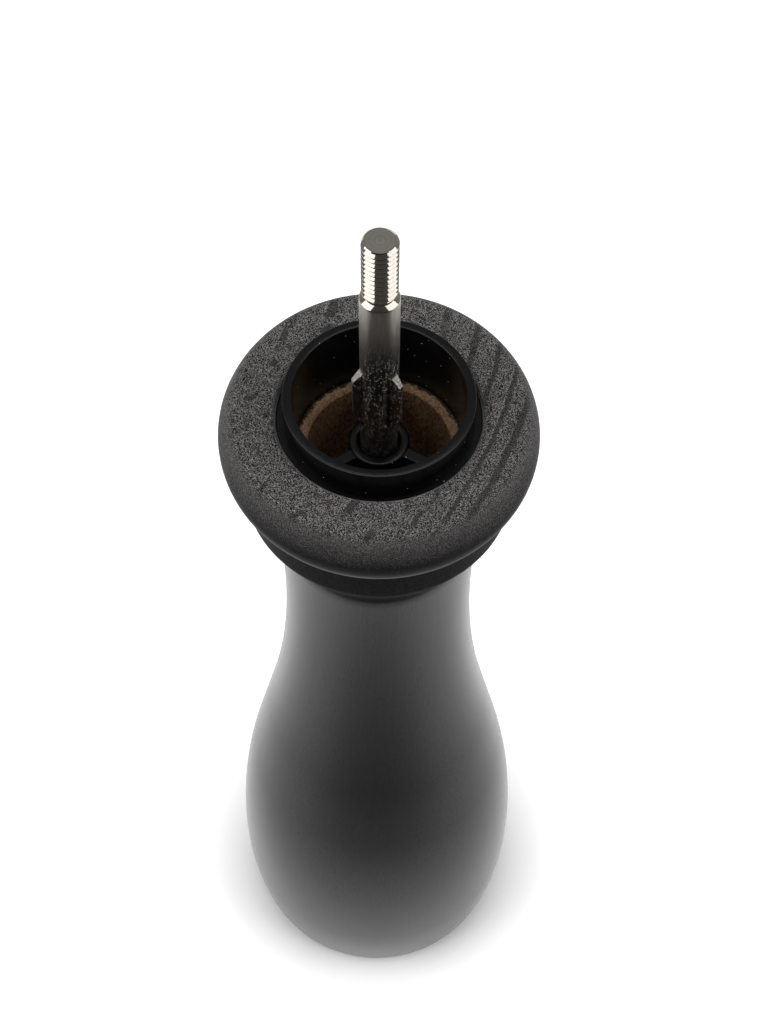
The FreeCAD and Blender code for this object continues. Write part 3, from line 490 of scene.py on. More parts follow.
def growth_rings(tree, place):
    """Place within a growth ring, from 0 behind its sharp edge to 1 before the next."""
    distance = from_upright(tree, place, PITH[0] * MM, PITH[1] * MM)
    cloud = drawn_out(tree, place, (1, 1, 0.1), 4.0)
    wander = add(tree, RANGE, {0: cloud, 3: -0.4 * MM, 4: 0.4 * MM})
    wandering = add(tree, MATH, {0: distance, 1: wander}, operation="ADD")
    first, last = GROWTH_EDGES[0], GROWTH_EDGES[-1]
    saw = add(tree, RAMP, {0: add(tree, RANGE, {0: wandering, 1: first * MM, 2: last * MM})})
    stops = saw.node.color_ramp.elements
    for edge in GROWTH_EDGES[1:-1]:
        share_of_way = (edge - first) / (last - first)
        stops.new(share_of_way - EDGE_SHARE).color = (1, 1, 1, 1)
        stops.new(share_of_way).color = (0, 0, 0, 1)
    return saw


def end_grain(tree, place, fibre, flat, colours):
    """Colour of the stained end grain: dark pores, pale fibre tips that are partly painted glints, and marks
    along the growth rings.
    """
    even = add(tree, RANGE, {0: fibre, 3: 0.35, 4: 0.7})
    grain = add(tree, MIX, {0: flat, 2: even, 3: fibre})
    # Late wood behind each ring's edge, torn fibres before it, both clearest to the right of the mouth
    ring = growth_rings(tree, place)
    cloud = drawn_out(tree, place, (1, 1, 0.2), 3.0)
    patch = add(tree, RANGE, {0: cloud, 1: 0.5, 2: 0.56, 4: 0.75})
    right = add(tree, RANGE, {0: add(tree, SPLIT, {0: place}, "X"), 1: 4 * MM, 2: 16 * MM, 4: 0.7})
    clear = add(tree, MATH, {0: patch, 1: right}, operation="MAXIMUM")
    level = add(tree, RANGE, {0: flat, 3: 0.15, 4: 1.0})
    clear = add(tree, MATH, {0: clear, 1: level}, operation="MULTIPLY")
    late = add(tree, RANGE, {0: ring, 1: 0.2, 2: 0.3, 3: 0.9, 4: 0.0})
    late = add(tree, MATH, {0: late, 1: clear}, operation="MULTIPLY")
    grain = add(tree, MIX, {0: late, 2: grain, 3: 0.1})
    torn = add(tree, RANGE, {0: ring, 1: 0.93, 2: 0.97, 4: 0.7})
    torn = add(tree, MATH, {0: torn, 1: clear}, operation="MULTIPLY")
    ragged = add(tree, RANGE, {0: fibre, 3: 0.5, 4: 1.0})
    torn = add(tree, MATH, {0: torn, 1: ragged}, operation="MULTIPLY")
    ramp = add(tree, RAMP, {0: add(tree, MATH, {0: grain, 1: torn}, operation="ADD")})
    stops = ramp.node.color_ramp.elements
    stops[0].color = colours.pore
    stops[1].color = colours.fibre_tip_and_glint
    stops.new(0.5).color = colours.fibre
    return ramp


def long_grain(tree, place, height, groove_middle, groove_width, colours):
    """Colour of the stained long grain: fine upright streaks, and a painted highlight along both edges of the
    groove.
    """
    cloud = drawn_out(tree, place, (1, 1, 0.04), 0.5)
    streak = add(tree, RANGE, {0: cloud, 1: 0.3, 2: 0.7})
    stained = add(tree, MIX, {0: streak, 6: colours.stain, 7: colours.stain_streak}, **COLOUR_MIX)
    # Painted highlight: a thin line in the pale fibre colour along each edge of the groove
    from_middle = add(tree, MATH, {0: height, 1: groove_middle}, operation="SUBTRACT")
    beside = add(tree, MATH, {0: from_middle}, operation="ABSOLUTE")
    from_edge = add(tree, MATH, {0: beside, 1: groove_width / 2 + 0.1 * MM}, operation="SUBTRACT")
    from_edge = add(tree, MATH, {0: from_edge}, operation="ABSOLUTE")
    painted_groove_highlight = add(tree, RANGE, {0: from_edge, 1: 0.1 * MM, 2: 0.4 * MM, 3: 0.3, 4: 0.0})
    return add(tree, MIX, {0: painted_groove_highlight, 6: stained, 7: colours.fibre_tip_and_glint}, **COLOUR_MIX)


def stained_beech(colours, bead_top, bead_bottom, groove_width):
    """Turned beech, stained black: satin long grain, and rough grey end grain with pores, growth rings and
    painted glints.
    """
    material, tree, place = new_material("stained_beech")
    height = add(tree, SPLIT, {0: place}, "Z")
    facing = add(tree, SPLIT, {0: add(tree, "ShaderNodeNewGeometry", output="Normal")}, "Z")
    flat = add(tree, RANGE, {0: facing, 1: 0.7, 2: 0.99})
    # The ring and the bead are only sanded, the rest is lacquered
    sanded = add(tree, RANGE, {0: height, 1: bead_bottom - 0.5 * MM, 2: bead_bottom + 0.5 * MM})
    # The sanded faces that look up take the end grain's pale colours: partly real end grain, partly painted
    # sheen
    upward = add(tree, RANGE, {0: facing, 1: 0.03, 2: 0.6})
    ends = add(tree, MATH, {0: sanded, 1: upward}, operation="MULTIPLY")
    # Pores and fibre ends, drawn out along the grain, and coarser than real ones so that they show
    cells = drawn_out(tree, place, (1, 1, 0.5), 0.115, POROUS)
    fibre = add(tree, RANGE, {0: cells, 1: 0.49, 2: 0.625})
    side = long_grain(tree, place, height, bead_top + groove_width / 2, groove_width, colours)
    fine = add(tree, MATH, {0: fibre, 1: add(tree, RANGE, {0: sanded, 4: 0.04})}, operation="MULTIPLY")
    side = add(tree, MIX, {0: fine, 6: side, 7: colours.fibre_tip_and_glint}, **COLOUR_MIX)
    top = end_grain(tree, place, fibre, flat, colours)
    depth = add(tree, RANGE, {0: ends, 3: 0.04, 4: 1.0})
    relief = add(tree, MATH, {0: fibre, 1: depth}, operation="MULTIPLY")
    surface(tree, Base_Color=add(tree, MIX, {0: ends, 6: side, 7: top}, **COLOUR_MIX),
            Roughness=add(tree, RANGE, {0: sanded, 3: 0.22, 4: 0.55}),
            Specular_IOR_Level=add(tree, RANGE, {0: sanded, 3: 0.07, 4: 0.01}),
            Sheen_Weight=add(tree, RANGE, {0: sanded, 3: 0.48, 4: 0.28}), Sheen_Roughness=0.26,
            Normal=add(tree, BUMP, {"Height": relief, "Distance": 0.08 * MM}))
    return material


def raw_beech(colours, chamber_radius, ledge_height, collar_bore):
    """Bare beech as the drill left it: dull brown, with a paler torn edge at the top of the bore."""
    material, tree, place = new_material("raw_beech")
    cells = drawn_out(tree, place, (1, 1, 0.5), 0.4)
    fleck = add(tree, RANGE, {0: cells, 1: 0.35, 2: 0.65})
    ring = add(tree, RANGE, {0: growth_rings(tree, place), 2: 0.6, 3: 0.6, 4: 1.0})
    tone = add(tree, MATH, {0: fleck, 1: ring}, operation="MULTIPLY")
    wood = add(tree, MIX, {0: tone, 6: colours.raw_dark, 7: colours.raw_pale}, **COLOUR_MIX)
    # The torn edge lies on the ledge, and its inner side wanders
    radius = from_upright(tree, place)
    cloud = add(tree, NOISE, {"Vector": place, "Scale": per(1.2), **CLOUDY})
    wander = add(tree, RANGE, {0: cloud, 1: 0.3, 2: 0.7, 3: -0.4 * MM, 4: 0.4 * MM})
    radius = add(tree, MATH, {0: radius, 1: wander}, operation="ADD")
    edge = add(tree, RANGE, {0: radius, 1: chamber_radius, 2: (chamber_radius + collar_bore) / 2})
    height = add(tree, SPLIT, {0: place}, "Z")
    on_ledge = add(tree, MATH, {0: height, 1: ledge_height - 0.3 * MM}, operation="GREATER_THAN")
    edge = add(tree, MATH, {0: edge, 1: on_ledge}, operation="MULTIPLY")
    ragged = add(tree, RANGE, {0: fleck, 1: 0.2, 2: 0.8, 3: 0.3, 4: 1.0})
    edge = add(tree, MATH, {0: edge, 1: ragged}, operation="MULTIPLY")
    wood = add(tree, MIX, {0: edge, 6: wood, 7: colours.raw_edge}, **COLOUR_MIX)
    # Painted shade: the stain colour darkens the outer side of the ledge, under the collar's wall
    stained = add(tree, RANGE, {0: radius, 1: collar_bore - 0.6 * MM, 2: collar_bore - 0.2 * MM, 4: 0.9})
    stained = add(tree, MATH, {0: stained, 1: on_ledge}, operation="MULTIPLY")
    surface(tree, Base_Color=add(tree, MIX, {0: stained, 6: wood, 7: colours.stain}, **COLOUR_MIX),
            Roughness=0.85, Specular_IOR_Level=0.1,
            Normal=add(tree, BUMP, {"Height": fleck, "Distance": 0.12 * MM}))
    return material


def flecks(tree, place, spacing, size):
    """Flecks of dust as 1 on 0: three in ten cells of a given spacing hold one of about a given size."""
    from_middle = add(tree, "ShaderNodeTexVoronoi", {"Vector": place, "Scale": per(spacing)}, "Distance")
    near = add(tree, MATH, {0: from_middle, 1: size / spacing / 2}, operation="LESS_THAN")
    lot = add(tree, "ShaderNodeSeparateColor", {0: from_middle.node.outputs["Color"]})
    chosen = add(tree, MATH, {0: lot, 1: 0.3}, operation="LESS_THAN")
    return add(tree, MATH, {0: near, 1: chosen}, operation="MULTIPLY")


def moulded_plastic(name, base, dust, dustiness):
    """ABS or nylon from a mould: near black, satin, with a fine even texture and a little dust."""
    material, tree, place = new_material(name)
    grain = add(tree, NOISE, {"Vector": place, "Scale": per(0.22), **GRITTY})
    deep = add(tree, RANGE, {0: grain, 1: 0.3, 2: 0.7, 4: 0.5})
    tone = add(tree, MIX, {0: deep, 6: base, 7: darker(base, 0.6)}, **COLOUR_MIX)
    dusted = add(tree, MATH, {0: flecks(tree, place, 1.0, 0.15), 1: dustiness}, operation="MULTIPLY")
    surface(tree, Base_Color=add(tree, MIX, {0: dusted, 6: tone, 7: dust}, **COLOUR_MIX),
            Roughness=add(tree, RANGE, {0: grain, 1: 0.3, 2: 0.7, 3: 0.18, 4: 0.26}), Specular_IOR_Level=0.15,
            Normal=add(tree, BUMP, {"Height": grain, "Distance": 0.02 * MM}))
    return material


def worked_metal(name, base, roughness, streak, relief):
    """Bare or plated metal: its fine marks run in the direction it was worked and dull it a little."""
    material, tree, place = new_material(name)
    marks = drawn_out(tree, place, streak, 0.16, STREAKY)
    cloud = add(tree, NOISE, {"Vector": place, "Scale": per(2.0), **CLOUDY})
    fine = add(tree, RANGE, {0: marks, 1: 0.3, 2: 0.7, 3: roughness - 0.05, 4: roughness + 0.06})
    broad = add(tree, RANGE, {0: cloud, 1: 0.3, 2: 0.7, 3: -0.03, 4: 0.03})
    bright = add(tree, RANGE, {0: marks, 1: 0.3, 2: 0.7})
    tone = add(tree, MIX, {0: bright, 6: darker(base, 0.72), 7: base}, **COLOUR_MIX)
    surface(tree, Base_Color=tone, Metallic=1.0,
            Roughness=add(tree, MATH, {0: fine, 1: broad}, operation="ADD"),
            Normal=add(tree, BUMP, {"Height": marks, "Distance": relief * MM}))
    return material


def swaged_stainless(colours, wing_high, thread_low):
    """Stainless rod: drawn marks along it, rings on its faced tip, torn sheared faces and dust low down."""
    material, tree, place = new_material("swaged_stainless")
    facing = add(tree, SPLIT, {0: add(tree, "ShaderNodeNewGeometry", output="Normal")}, "Z")
    radius = from_upright(tree, place)
    outward = add(tree, "ShaderNodeCombineXYZ", {0: radius})
    rings = add(tree, NOISE, {"Vector": outward, "Scale": per(0.3), **GRITTY})
    drawn = drawn_out(tree, place, (1, 1, 0.04), 0.16, STREAKY)
    faced = add(tree, RANGE, {0: facing, 1: 0.9, 2: 0.98})
    marks = add(tree, RANGE, {0: add(tree, MIX, {0: faced, 2: drawn, 3: rings}), 1: 0.3, 2: 0.7})
    # From 0 at the thread to 1 at the wings
    height = add(tree, SPLIT, {0: place}, "Z")
    below = add(tree, RANGE, {0: height, 1: wing_high, 2: thread_low, 3: 1.0, 4: 0.0})
    # Faces sheared off at the ends of the wings
    at_wings = add(tree, MATH, {0: below, 1: 0.9}, operation="GREATER_THAN")
    upward = add(tree, RANGE, {0: facing, 1: 0.25, 2: 0.4})
    sheared = add(tree, MATH, {0: upward, 1: at_wings}, operation="MULTIPLY")
    cells = add(tree, NOISE, {"Vector": place, "Scale": per(0.35), **GRITTY})
    torn = add(tree, RANGE, {0: cells, 1: 0.35, 2: 0.65})
    torn = add(tree, MATH, {0: torn, 1: sheared}, operation="MULTIPLY")
    # A dull film below the thread, pepper dust that clings lower down, and matte torn faces with a painted
    # highlight
    low_down = add(tree, RANGE, {0: below, 1: 0.4, 2: 0.9})
    dust = add(tree, MATH, {0: flecks(tree, place, 0.22, 0.15), 1: low_down}, operation="MULTIPLY")
    under_thread = add(tree, MATH, {0: below, 1: 0.08}, operation="GREATER_THAN")
    film = add(tree, RANGE, {0: below, 1: 0.1, 2: 0.6, 3: 0.06, 4: 0.03})
    film = add(tree, MATH, {0: film, 1: under_thread}, operation="MULTIPLY")
    dust = add(tree, MATH, {0: dust, 1: film}, operation="MAXIMUM")
    # Painted highlight: the upward sheared faces take the pale dust colour, besides being rough
    torn_and_highlit = add(tree, MATH, {0: sheared, 1: 0.4}, operation="MULTIPLY")
    dust = add(tree, MATH, {0: dust, 1: torn_and_highlit}, operation="MAXIMUM")
    # Painted shade darkens the rod under its shoulder, more so lower down
    under_shoulder = add(tree, MATH, {0: below, 1: 0.06}, operation="GREATER_THAN")
    painted_rod_shade = add(tree, RANGE, {0: below, 1: 0.3, 2: 0.9, 3: 0.15, 4: 0.65})
    painted_rod_shade = add(tree, MATH, {0: painted_rod_shade, 1: under_shoulder}, operation="MULTIPLY")
    bright = colours.stainless
    steel = add(tree, MIX, {0: marks, 6: darker(bright, 0.7), 7: bright}, **COLOUR_MIX)
    steel = add(tree, MIX, {0: painted_rod_shade, 6: steel, 7: colours.rod_shade}, **COLOUR_MIX)
    smooth = add(tree, RANGE, {0: marks, 3: 0.03, 4: 0.08})
    rough = add(tree, RANGE, {0: sheared, 4: 0.2})
    rough = add(tree, MATH, {0: smooth, 1: rough}, operation="ADD")
    # Polished where it was turned and threaded, satin as drawn below
    satin = add(tree, RANGE, {0: under_shoulder, 4: 0.3})
    rough = add(tree, MATH, {0: rough, 1: satin}, operation="MAXIMUM")
    dull = add(tree, RANGE, {0: dust, 1: 0.5, 4: 0.9})
    relief = add(tree, MATH, {0: add(tree, RANGE, {0: marks, 4: 0.01}), 1: torn}, operation="ADD")
    surface(tree, Base_Color=add(tree, MIX, {0: dust, 6: steel, 7: colours.dust}, **COLOUR_MIX),
            Metallic=add(tree, MATH, {0: 1.0, 1: dust}, operation="SUBTRACT"),
            Roughness=add(tree, MATH, {0: rough, 1: dull}, operation="MAXIMUM"),
            Normal=add(tree, BUMP, {"Height": relief, "Distance": 0.12 * MM}))
    return material


# Pieces

def wood_line(sizes):
    """Outline of the wood: down the outside, across the foot and up the bores."""
    top = sizes.height
    side_x, side_z = sizes.ring_radius - sizes.ring_side, top - sizes.ring_middle
    reach, rise = sizes.ring_side - sizes.ring_corner, sizes.ring_middle - sizes.ring_corner
    corner = math.asin(rise / reach)
    lip = math.asin((sizes.ring_length - sizes.ring_middle) / sizes.ring_side)
    corner_x, corner_z = side_x + reach * math.cos(corner), side_z + rise
    width = sizes.bulb_radius - sizes.waist_radius
    drop = top - sizes.waist_depth - sizes.bulb_height
    radii = (width ** 2 + drop ** 2 - sizes.flank_length ** 2) / (2 * width)
    neck_curve, bulb_curve = radii * sizes.hollow_share, radii * (1 - sizes.hollow_share)
    flank = math.atan2(drop, radii - width) - math.atan2(sizes.flank_length, radii)
    neck_x, neck_z = sizes.waist_radius + neck_curve, top - sizes.waist_depth
    neck = math.asin((sizes.waist_depth - sizes.neck_depth) / neck_curve)
    bead_top = top - sizes.ring_length - sizes.groove_width
    cove_start = Vector((sizes.cove_radius, bead_top - sizes.bead_length - sizes.cove_drop))
    cove_end = Vector((neck_x - neck_curve * math.cos(neck), neck_z + neck_curve * math.sin(neck)))
    chord = cove_end - cove_start
    outward = Vector((-chord.y, chord.x)).normalized()
    cove = cove_start + chord / 2 + outward * math.sqrt(sizes.cove_curve ** 2 - (chord.length / 2) ** 2)
    cove_turn = 2 * math.asin(chord.length / 2 / sizes.cove_curve)
    bulb_x, foot_x = sizes.bulb_radius - bulb_curve, sizes.bulb_radius - sizes.foot_curve
    foot = math.asin((sizes.bulb_height - sizes.edge_break) / sizes.foot_curve)
    # Where a call ends with a whole number, that is its number of steps
    line = Outline(sizes.mouth_radius, top - sizes.edge_break)
    line.arc(sizes.mouth_radius + sizes.edge_break, top - sizes.edge_break, -math.pi / 2, 4)
    line.line(corner_x, top, 6).arc(corner_x, corner_z, corner - math.pi / 2, 8)
    line.arc(side_x, side_z, -corner - lip, 20)
    line.line(sizes.groove_radius, bead_top + sizes.groove_width / 2, 3)
    line.line(sizes.bead_radius, bead_top).line(sizes.bead_radius, bead_top - sizes.bead_length, 5)
    line.line(*cove_start, 2).arc(*cove, cove_turn, 12)
    line.arc(neck_x, neck_z, neck + flank, 36)
    line.line(bulb_x + bulb_curve * math.cos(flank), sizes.bulb_height + bulb_curve * math.sin(flank), 8)
    line.arc(bulb_x, sizes.bulb_height, -flank, 24).arc(foot_x, sizes.bulb_height, -foot, 12)
    line.line(line.last.co.x - sizes.edge_break, 0).line(sizes.recess_radius, 0)
    line.line(sizes.recess_radius, sizes.recess_height).line(sizes.cage_bore, sizes.recess_height)
    line.line(sizes.cage_bore, sizes.cage_ceiling).line(sizes.chamber_radius, sizes.cage_ceiling)
    line.line(sizes.chamber_radius, sizes.ledge_height).line(sizes.seat_radius, sizes.ledge_height)
    line.line(sizes.seat_radius, sizes.seat_height).line(sizes.mouth_radius, sizes.seat_height)
    return line.close(), bead_top


class MILL_OT_wooden_body(bpy.types.Operator):
    """Turns the wooden body, stained outside and bare in its bores"""

    bl_idname = "mill.wooden_body"
    bl_label = "Wooden body"

    def execute(self, context):
        sizes, colours = context.scene.mill_wood, context.scene.mill_finishes
        line, bead_top = wood_line(sizes)
        shape = line.turned(WOOD_STEPS)
        rounded(shape, hoops(shape, (sizes.bead_radius, bead_top)), sizes.bead_edge)
        rounded(shape, hoops(shape, (sizes.chamber_radius, sizes.ledge_height)), sizes.ledge_edge)
        for face in shape.faces:
            middle = face.calc_center_median()
            radius = math.hypot(middle.x, middle.y)
            in_cage_bore = 0 < middle.z <= sizes.cage_ceiling and radius < sizes.recess_radius
            if in_cage_bore or radius < sizes.seat_radius:
                face.material_index = 1
        stained = stained_beech(colours, bead_top, bead_top - sizes.bead_length, sizes.groove_width)
        collar = context.scene.mill_collar
        raw = raw_beech(colours, sizes.chamber_radius, sizes.ledge_height, collar.radius - collar.wall)
        piece("turned_body", shape, [stained, raw], "mill_body", "wooden_body")
        return {"FINISHED"}


class MILL_OT_guide_collar(bpy.types.Operator):
    """Moulds the collar whose spokes carry a hub round the shaft"""

    bl_idname = "mill.guide_collar"
    bl_label = "Guide collar"

    def execute(self, context):
        sizes, colours = context.scene.mill_collar, context.scene.mill_finishes
        inner = sizes.radius - sizes.wall
        line = Outline(inner, sizes.bottom).line(sizes.radius, sizes.bottom)
        line.line(sizes.radius, sizes.flange_low).line(sizes.flange_radius, sizes.flange_low)
        line.line(sizes.flange_radius, sizes.flange_high).line(sizes.radius, sizes.flange_high)
        line.line(sizes.radius, sizes.rim).line(inner, sizes.rim).close()
        wall = line.turned(COLLAR_STEPS)
        rounded(wall, hoops(wall, (sizes.radius, sizes.rim), (inner, sizes.rim),
                            (sizes.flange_radius, sizes.flange_high)), sizes.edge)
        hub = Outline(sizes.hub_bore, sizes.hub_low).line(sizes.hub_radius, sizes.hub_low)
        hub.line(sizes.hub_radius, sizes.hub_high).line(sizes.hub_bore, sizes.hub_high).close()
        hub = hub.turned(HUB_STEPS)
        rounded(hub, hoops(hub, (sizes.hub_radius, sizes.hub_high), (sizes.hub_bore, sizes.hub_high)),
                2 * sizes.edge)
        steps = [("UNION", hub)]
        for turn in around(sizes.spoke_azimuth, sizes.spoke_count):
            spoke = block(((sizes.hub_bore + sizes.hub_radius) / 2, -sizes.spoke_width / 2, sizes.bottom),
                          (sizes.radius - sizes.wall / 2, sizes.spoke_width / 2, sizes.hub_high - sizes.edge))
            rounded(spoke, spoke.edges[:], sizes.edge)
            steps.append(("UNION", about_axis(spoke, turn)))
        material = moulded_plastic("moulded_abs", colours.plastic, colours.dust, 1.0)
        shape = worked(wall, *steps)
        piece("moulded_collar", shape, [material], "mill_body", "guide_collar")
        return {"FINISHED"}


def thread(sizes, bottom, top):
    """A solid helical thread from one height to another, flat at both ends."""
    pitch, crest = sizes.thread_pitch, sizes.thread_radius
    root = crest - sizes.thread_depth
    line = Outline(root, bottom - 2 * pitch)
    for turn in range(math.ceil((top - bottom) / pitch) + 3):
        low = bottom + (turn - 2) * pitch
        line.line(crest, low + pitch * CREST_START).line(crest, low + pitch * CREST_END)
        line.line(root, low + pitch * ROOT_START).line(root, low + pitch)
    shape = line.shape
    bmesh.ops.spin(shape, geom=[*shape.verts, *shape.edges], cent=(0, 0, 0), axis=(0, 0, 1),
                   angle=math.tau, steps=THREAD_STEPS, dvec=(0, 0, pitch / THREAD_STEPS))
    bmesh.ops.remove_doubles(shape, verts=shape.verts[:], dist=MERGE)
    for height, above in ((bottom, False), (top, True)):
        bmesh.ops.bisect_plane(shape, geom=[*shape.verts, *shape.edges, *shape.faces], dist=MERGE / 10,
                               plane_co=(0, 0, height), plane_no=(0, 0, 1),
                               clear_outer=above, clear_inner=not above)
    return capped(shape)


def wing(sizes):
    """A wing swaged out of the rod, with sheared ends, towards +X."""
    inner = sizes.radius / 2
    low, high = sizes.wing_low, sizes.wing_high
    corners = [(inner, low), (sizes.radius, low), (sizes.wing_radius, low + sizes.wing_slope_low),
               (sizes.wing_radius, high - sizes.wing_slope_high), (sizes.radius, high), (inner, high)]
    line = Outline(*corners[0])
    for corner in corners[1:]:
        line.line(*corner)
    line.close()
    shape = line.shape
    bmesh.ops.contextual_create(shape, geom=shape.edges[:])
    bmesh.ops.translate(shape, vec=(0, -sizes.wing_root / 2, 0), verts=shape.verts[:])
    grown = bmesh.ops.extrude_face_region(shape, geom=shape.faces[:])
    verts = [item for item in grown["geom"] if isinstance(item, bmesh.types.BMVert)]
    bmesh.ops.translate(shape, vec=(0, sizes.wing_root, 0), verts=verts)
    bmesh.ops.scale(shape, vec=(1, sizes.wing_edge / sizes.wing_root, 1),
                    verts=[vert for vert in shape.verts if vert.co.x > sizes.radius + MERGE])
    closed(shape)
    outer = [edge for edge in shape.edges if min(v.co.x for v in edge.verts) > sizes.radius - MERGE]
    return rounded(shape, outer, sizes.wing_rounding, 2)


def dent(sizes):
    """The cutter of the flat that a wing towards +X is pressed out of, whose ends slope out of the rod."""
    floor, mouth = sizes.radius - sizes.dent_depth, sizes.radius + sizes.dent_depth
    low, high = sizes.dent_low, sizes.dent_high
    face = -sizes.wing_root / 2 - sizes.dent_gap
    shape = block((floor, face - sizes.radius, low), (mouth, face, high))
    for vert in shape.verts:
        out = sizes.dent_slope if vert.co.x > sizes.radius else -sizes.dent_slope
        vert.co.z += -out if vert.co.z < (low + high) / 2 else out
    return shape


class MILL_OT_drive_shaft(bpy.types.Operator):
    """Makes the drive shaft with its threaded tip, wings, tang and journal"""

    bl_idname = "mill.drive_shaft"
    bl_label = "Drive shaft"

    def execute(self, context):
        sizes, colours = context.scene.mill_shaft, context.scene.mill_finishes
        tip, radius, overlap = sizes.tip, sizes.radius, sizes.overlap
        root = sizes.thread_radius - sizes.thread_depth
        thread_low = tip - sizes.thread_length
        shoulder = thread_low - sizes.relief_length
        rod = Outline(0, sizes.tang_high).line(radius, sizes.tang_high)
        rod.line(radius, shoulder - sizes.shoulder, 40).line(root, shoulder)
        rod = rod.line(root, thread_low + overlap).line(0, thread_low + overlap).turned(ROD_STEPS)
        rounded(rod, hoops(rod, (radius, shoulder - sizes.shoulder)), sizes.shoulder_edge)
        envelope = Outline(0, thread_low).line(root, thread_low)
        envelope.line(sizes.thread_radius, thread_low + sizes.thread_depth)
        envelope.line(sizes.thread_radius, tip - sizes.tip_chamfer)
        envelope.line(sizes.thread_radius - sizes.tip_chamfer, tip)
        envelope.line(sizes.dimple, tip, 4).line(0, tip - sizes.dimple_depth)
        tip_thread = worked(thread(sizes, thread_low - overlap, tip + overlap),
                            ("INTERSECT", envelope.turned(ROD_STEPS)))
        half = sizes.tang / 2
        tang = block((-half, -half, sizes.tang_low), (half, half, sizes.tang_high + overlap))
        journal = Outline(0, sizes.journal_low).line(sizes.journal_radius - overlap, sizes.journal_low)
        journal.line(sizes.journal_radius, sizes.journal_low + overlap)
        journal.line(sizes.journal_radius, sizes.clip_low).line(sizes.clip_radius, sizes.clip_low)
        journal = journal.line(sizes.clip_radius, sizes.tang_low + overlap).line(0, sizes.tang_low + overlap)
        turns = around(sizes.wing_azimuth, sizes.wing_count)
        steps = [("UNION", tip_thread), ("UNION", about_axis(tang, sizes.wing_azimuth)),
                 ("UNION", journal.turned(JOURNAL_STEPS))]
        steps += [("UNION", about_axis(wing(sizes), turn)) for turn in turns]
        steps += [("DIFFERENCE", about_axis(dent(sizes), turn)) for turn in turns]
        material = swaged_stainless(colours, sizes.wing_high, thread_low)
        piece("threaded_shaft", worked(rod, *steps), [material], "spindle", "drive_shaft")
        return {"FINISHED"}


class MILL_OT_compression_spring(bpy.types.Operator):
    """Winds the spring, which the lift of the cone squeezes"""

    bl_idname = "mill.compression_spring"
    bl_label = "Compression spring"

    def execute(self, context):
        sizes, colours = context.scene.mill_spring, context.scene.mill_finishes
        shape = bmesh.new()
        bmesh.ops.create_circle(shape, cap_ends=False, segments=WIRE_STEPS, radius=sizes.wire / 2)
        upright = Matrix.Rotation(math.pi / 2, 3, "X")
        bmesh.ops.rotate(shape, cent=(0, 0, 0), matrix=upright, verts=shape.verts[:])
        bmesh.ops.translate(shape, vec=(sizes.radius, 0, sizes.low), verts=shape.verts[:])
        open_turns = sizes.turns - 2
        open_pitch = (sizes.high - sizes.low - 2 * sizes.close_pitch) / open_turns
        last = [*shape.verts, *shape.edges]
        for turns, pitch in ((1, sizes.close_pitch), (open_turns, open_pitch), (1, sizes.close_pitch)):
            last = bmesh.ops.spin(shape, geom=last, cent=(0, 0, 0), axis=(0, 0, 1), angle=math.tau * turns,
                                  steps=COIL_STEPS * turns, dvec=(0, 0, pitch / COIL_STEPS))["geom_last"]
        capped(shape)
        material = worked_metal("drawn_spring_wire", colours.wire, 0.3, (1, 1, 1), 0.003)
        spring = piece("wound_spring", shape, [material], "mill_body", "compression_spring")
        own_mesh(spring)
        return {"FINISHED"}


class MILL_OT_grinder(bpy.types.Operator):
    """Finishes the cage, the grinding ring and the grinding cone"""

    bl_idname = "mill.grinder"
    bl_label = "Grinder"

    def execute(self, context):
        colours = context.scene.mill_finishes
        dress("mechanism_cage", moulded_plastic("moulded_nylon", colours.nylon, colours.dust, 0.4))
        steel = worked_metal("hardened_steel", colours.hardened, 0.42, (1, 1, 1), 0.008)
        for node in ("grinding_ring", "grinding_cone"):
            dress(node, steel)
        return {"FINISHED"}


class MILL_OT_base_fittings(bpy.types.Operator):
    """Finishes the strap, bush, clip, washers and screws"""

    bl_idname = "mill.base_fittings"
    bl_label = "Base fittings"

    def execute(self, context):
        colours = context.scene.mill_finishes
        zinc = worked_metal("zinc_plated_steel", colours.zinc, 0.32, (0.2, 1, 1), 0.004)
        for node in ("lower_bridge", "thrust_washer", "spring_seat_washer", "bridge_screws", "cage_screws"):
            dress(node, zinc)
        dress("retaining_clip", worked_metal("blued_spring_steel", colours.wire, 0.3, (1, 1, 1), 0.003))
        dress("bearing_bush", worked_metal("turned_brass", colours.brass, 0.28, (0.1, 0.1, 1), 0.003))
        return {"FINISHED"}


# Stage

# Name, place, width, height and watts of each soft box, and the place they all shine at
SOFT_BOXES = (
    ("soft_box_above", (0, 0.1, 1.5), 0.9, 0.9, 10.0),
    ("soft_box_left", (-1.0, -0.2, 0.85), 0.9, 1.4, 11.0),
    ("soft_box_right", (1.0, -0.2, 0.85), 0.9, 1.4, 9.5),
)
LIT_PLACE = Vector((0, 0, 0.15))


def soft_box(name, place, width, height, watts):
    """A soft box that shines at the mill's mouth."""
    data = bpy.data.lights.new(name, "AREA")
    data.shape = "RECTANGLE"
    data.size = width
    data.size_y = height
    data.energy = watts
    lamp = bpy.data.objects.new(name, data)
    lamp.location = place
    lamp.rotation_euler = (LIT_PLACE - Vector(place)).to_track_quat("-Z", "Y").to_euler()
    bpy.context.scene.collection.objects.link(lamp)


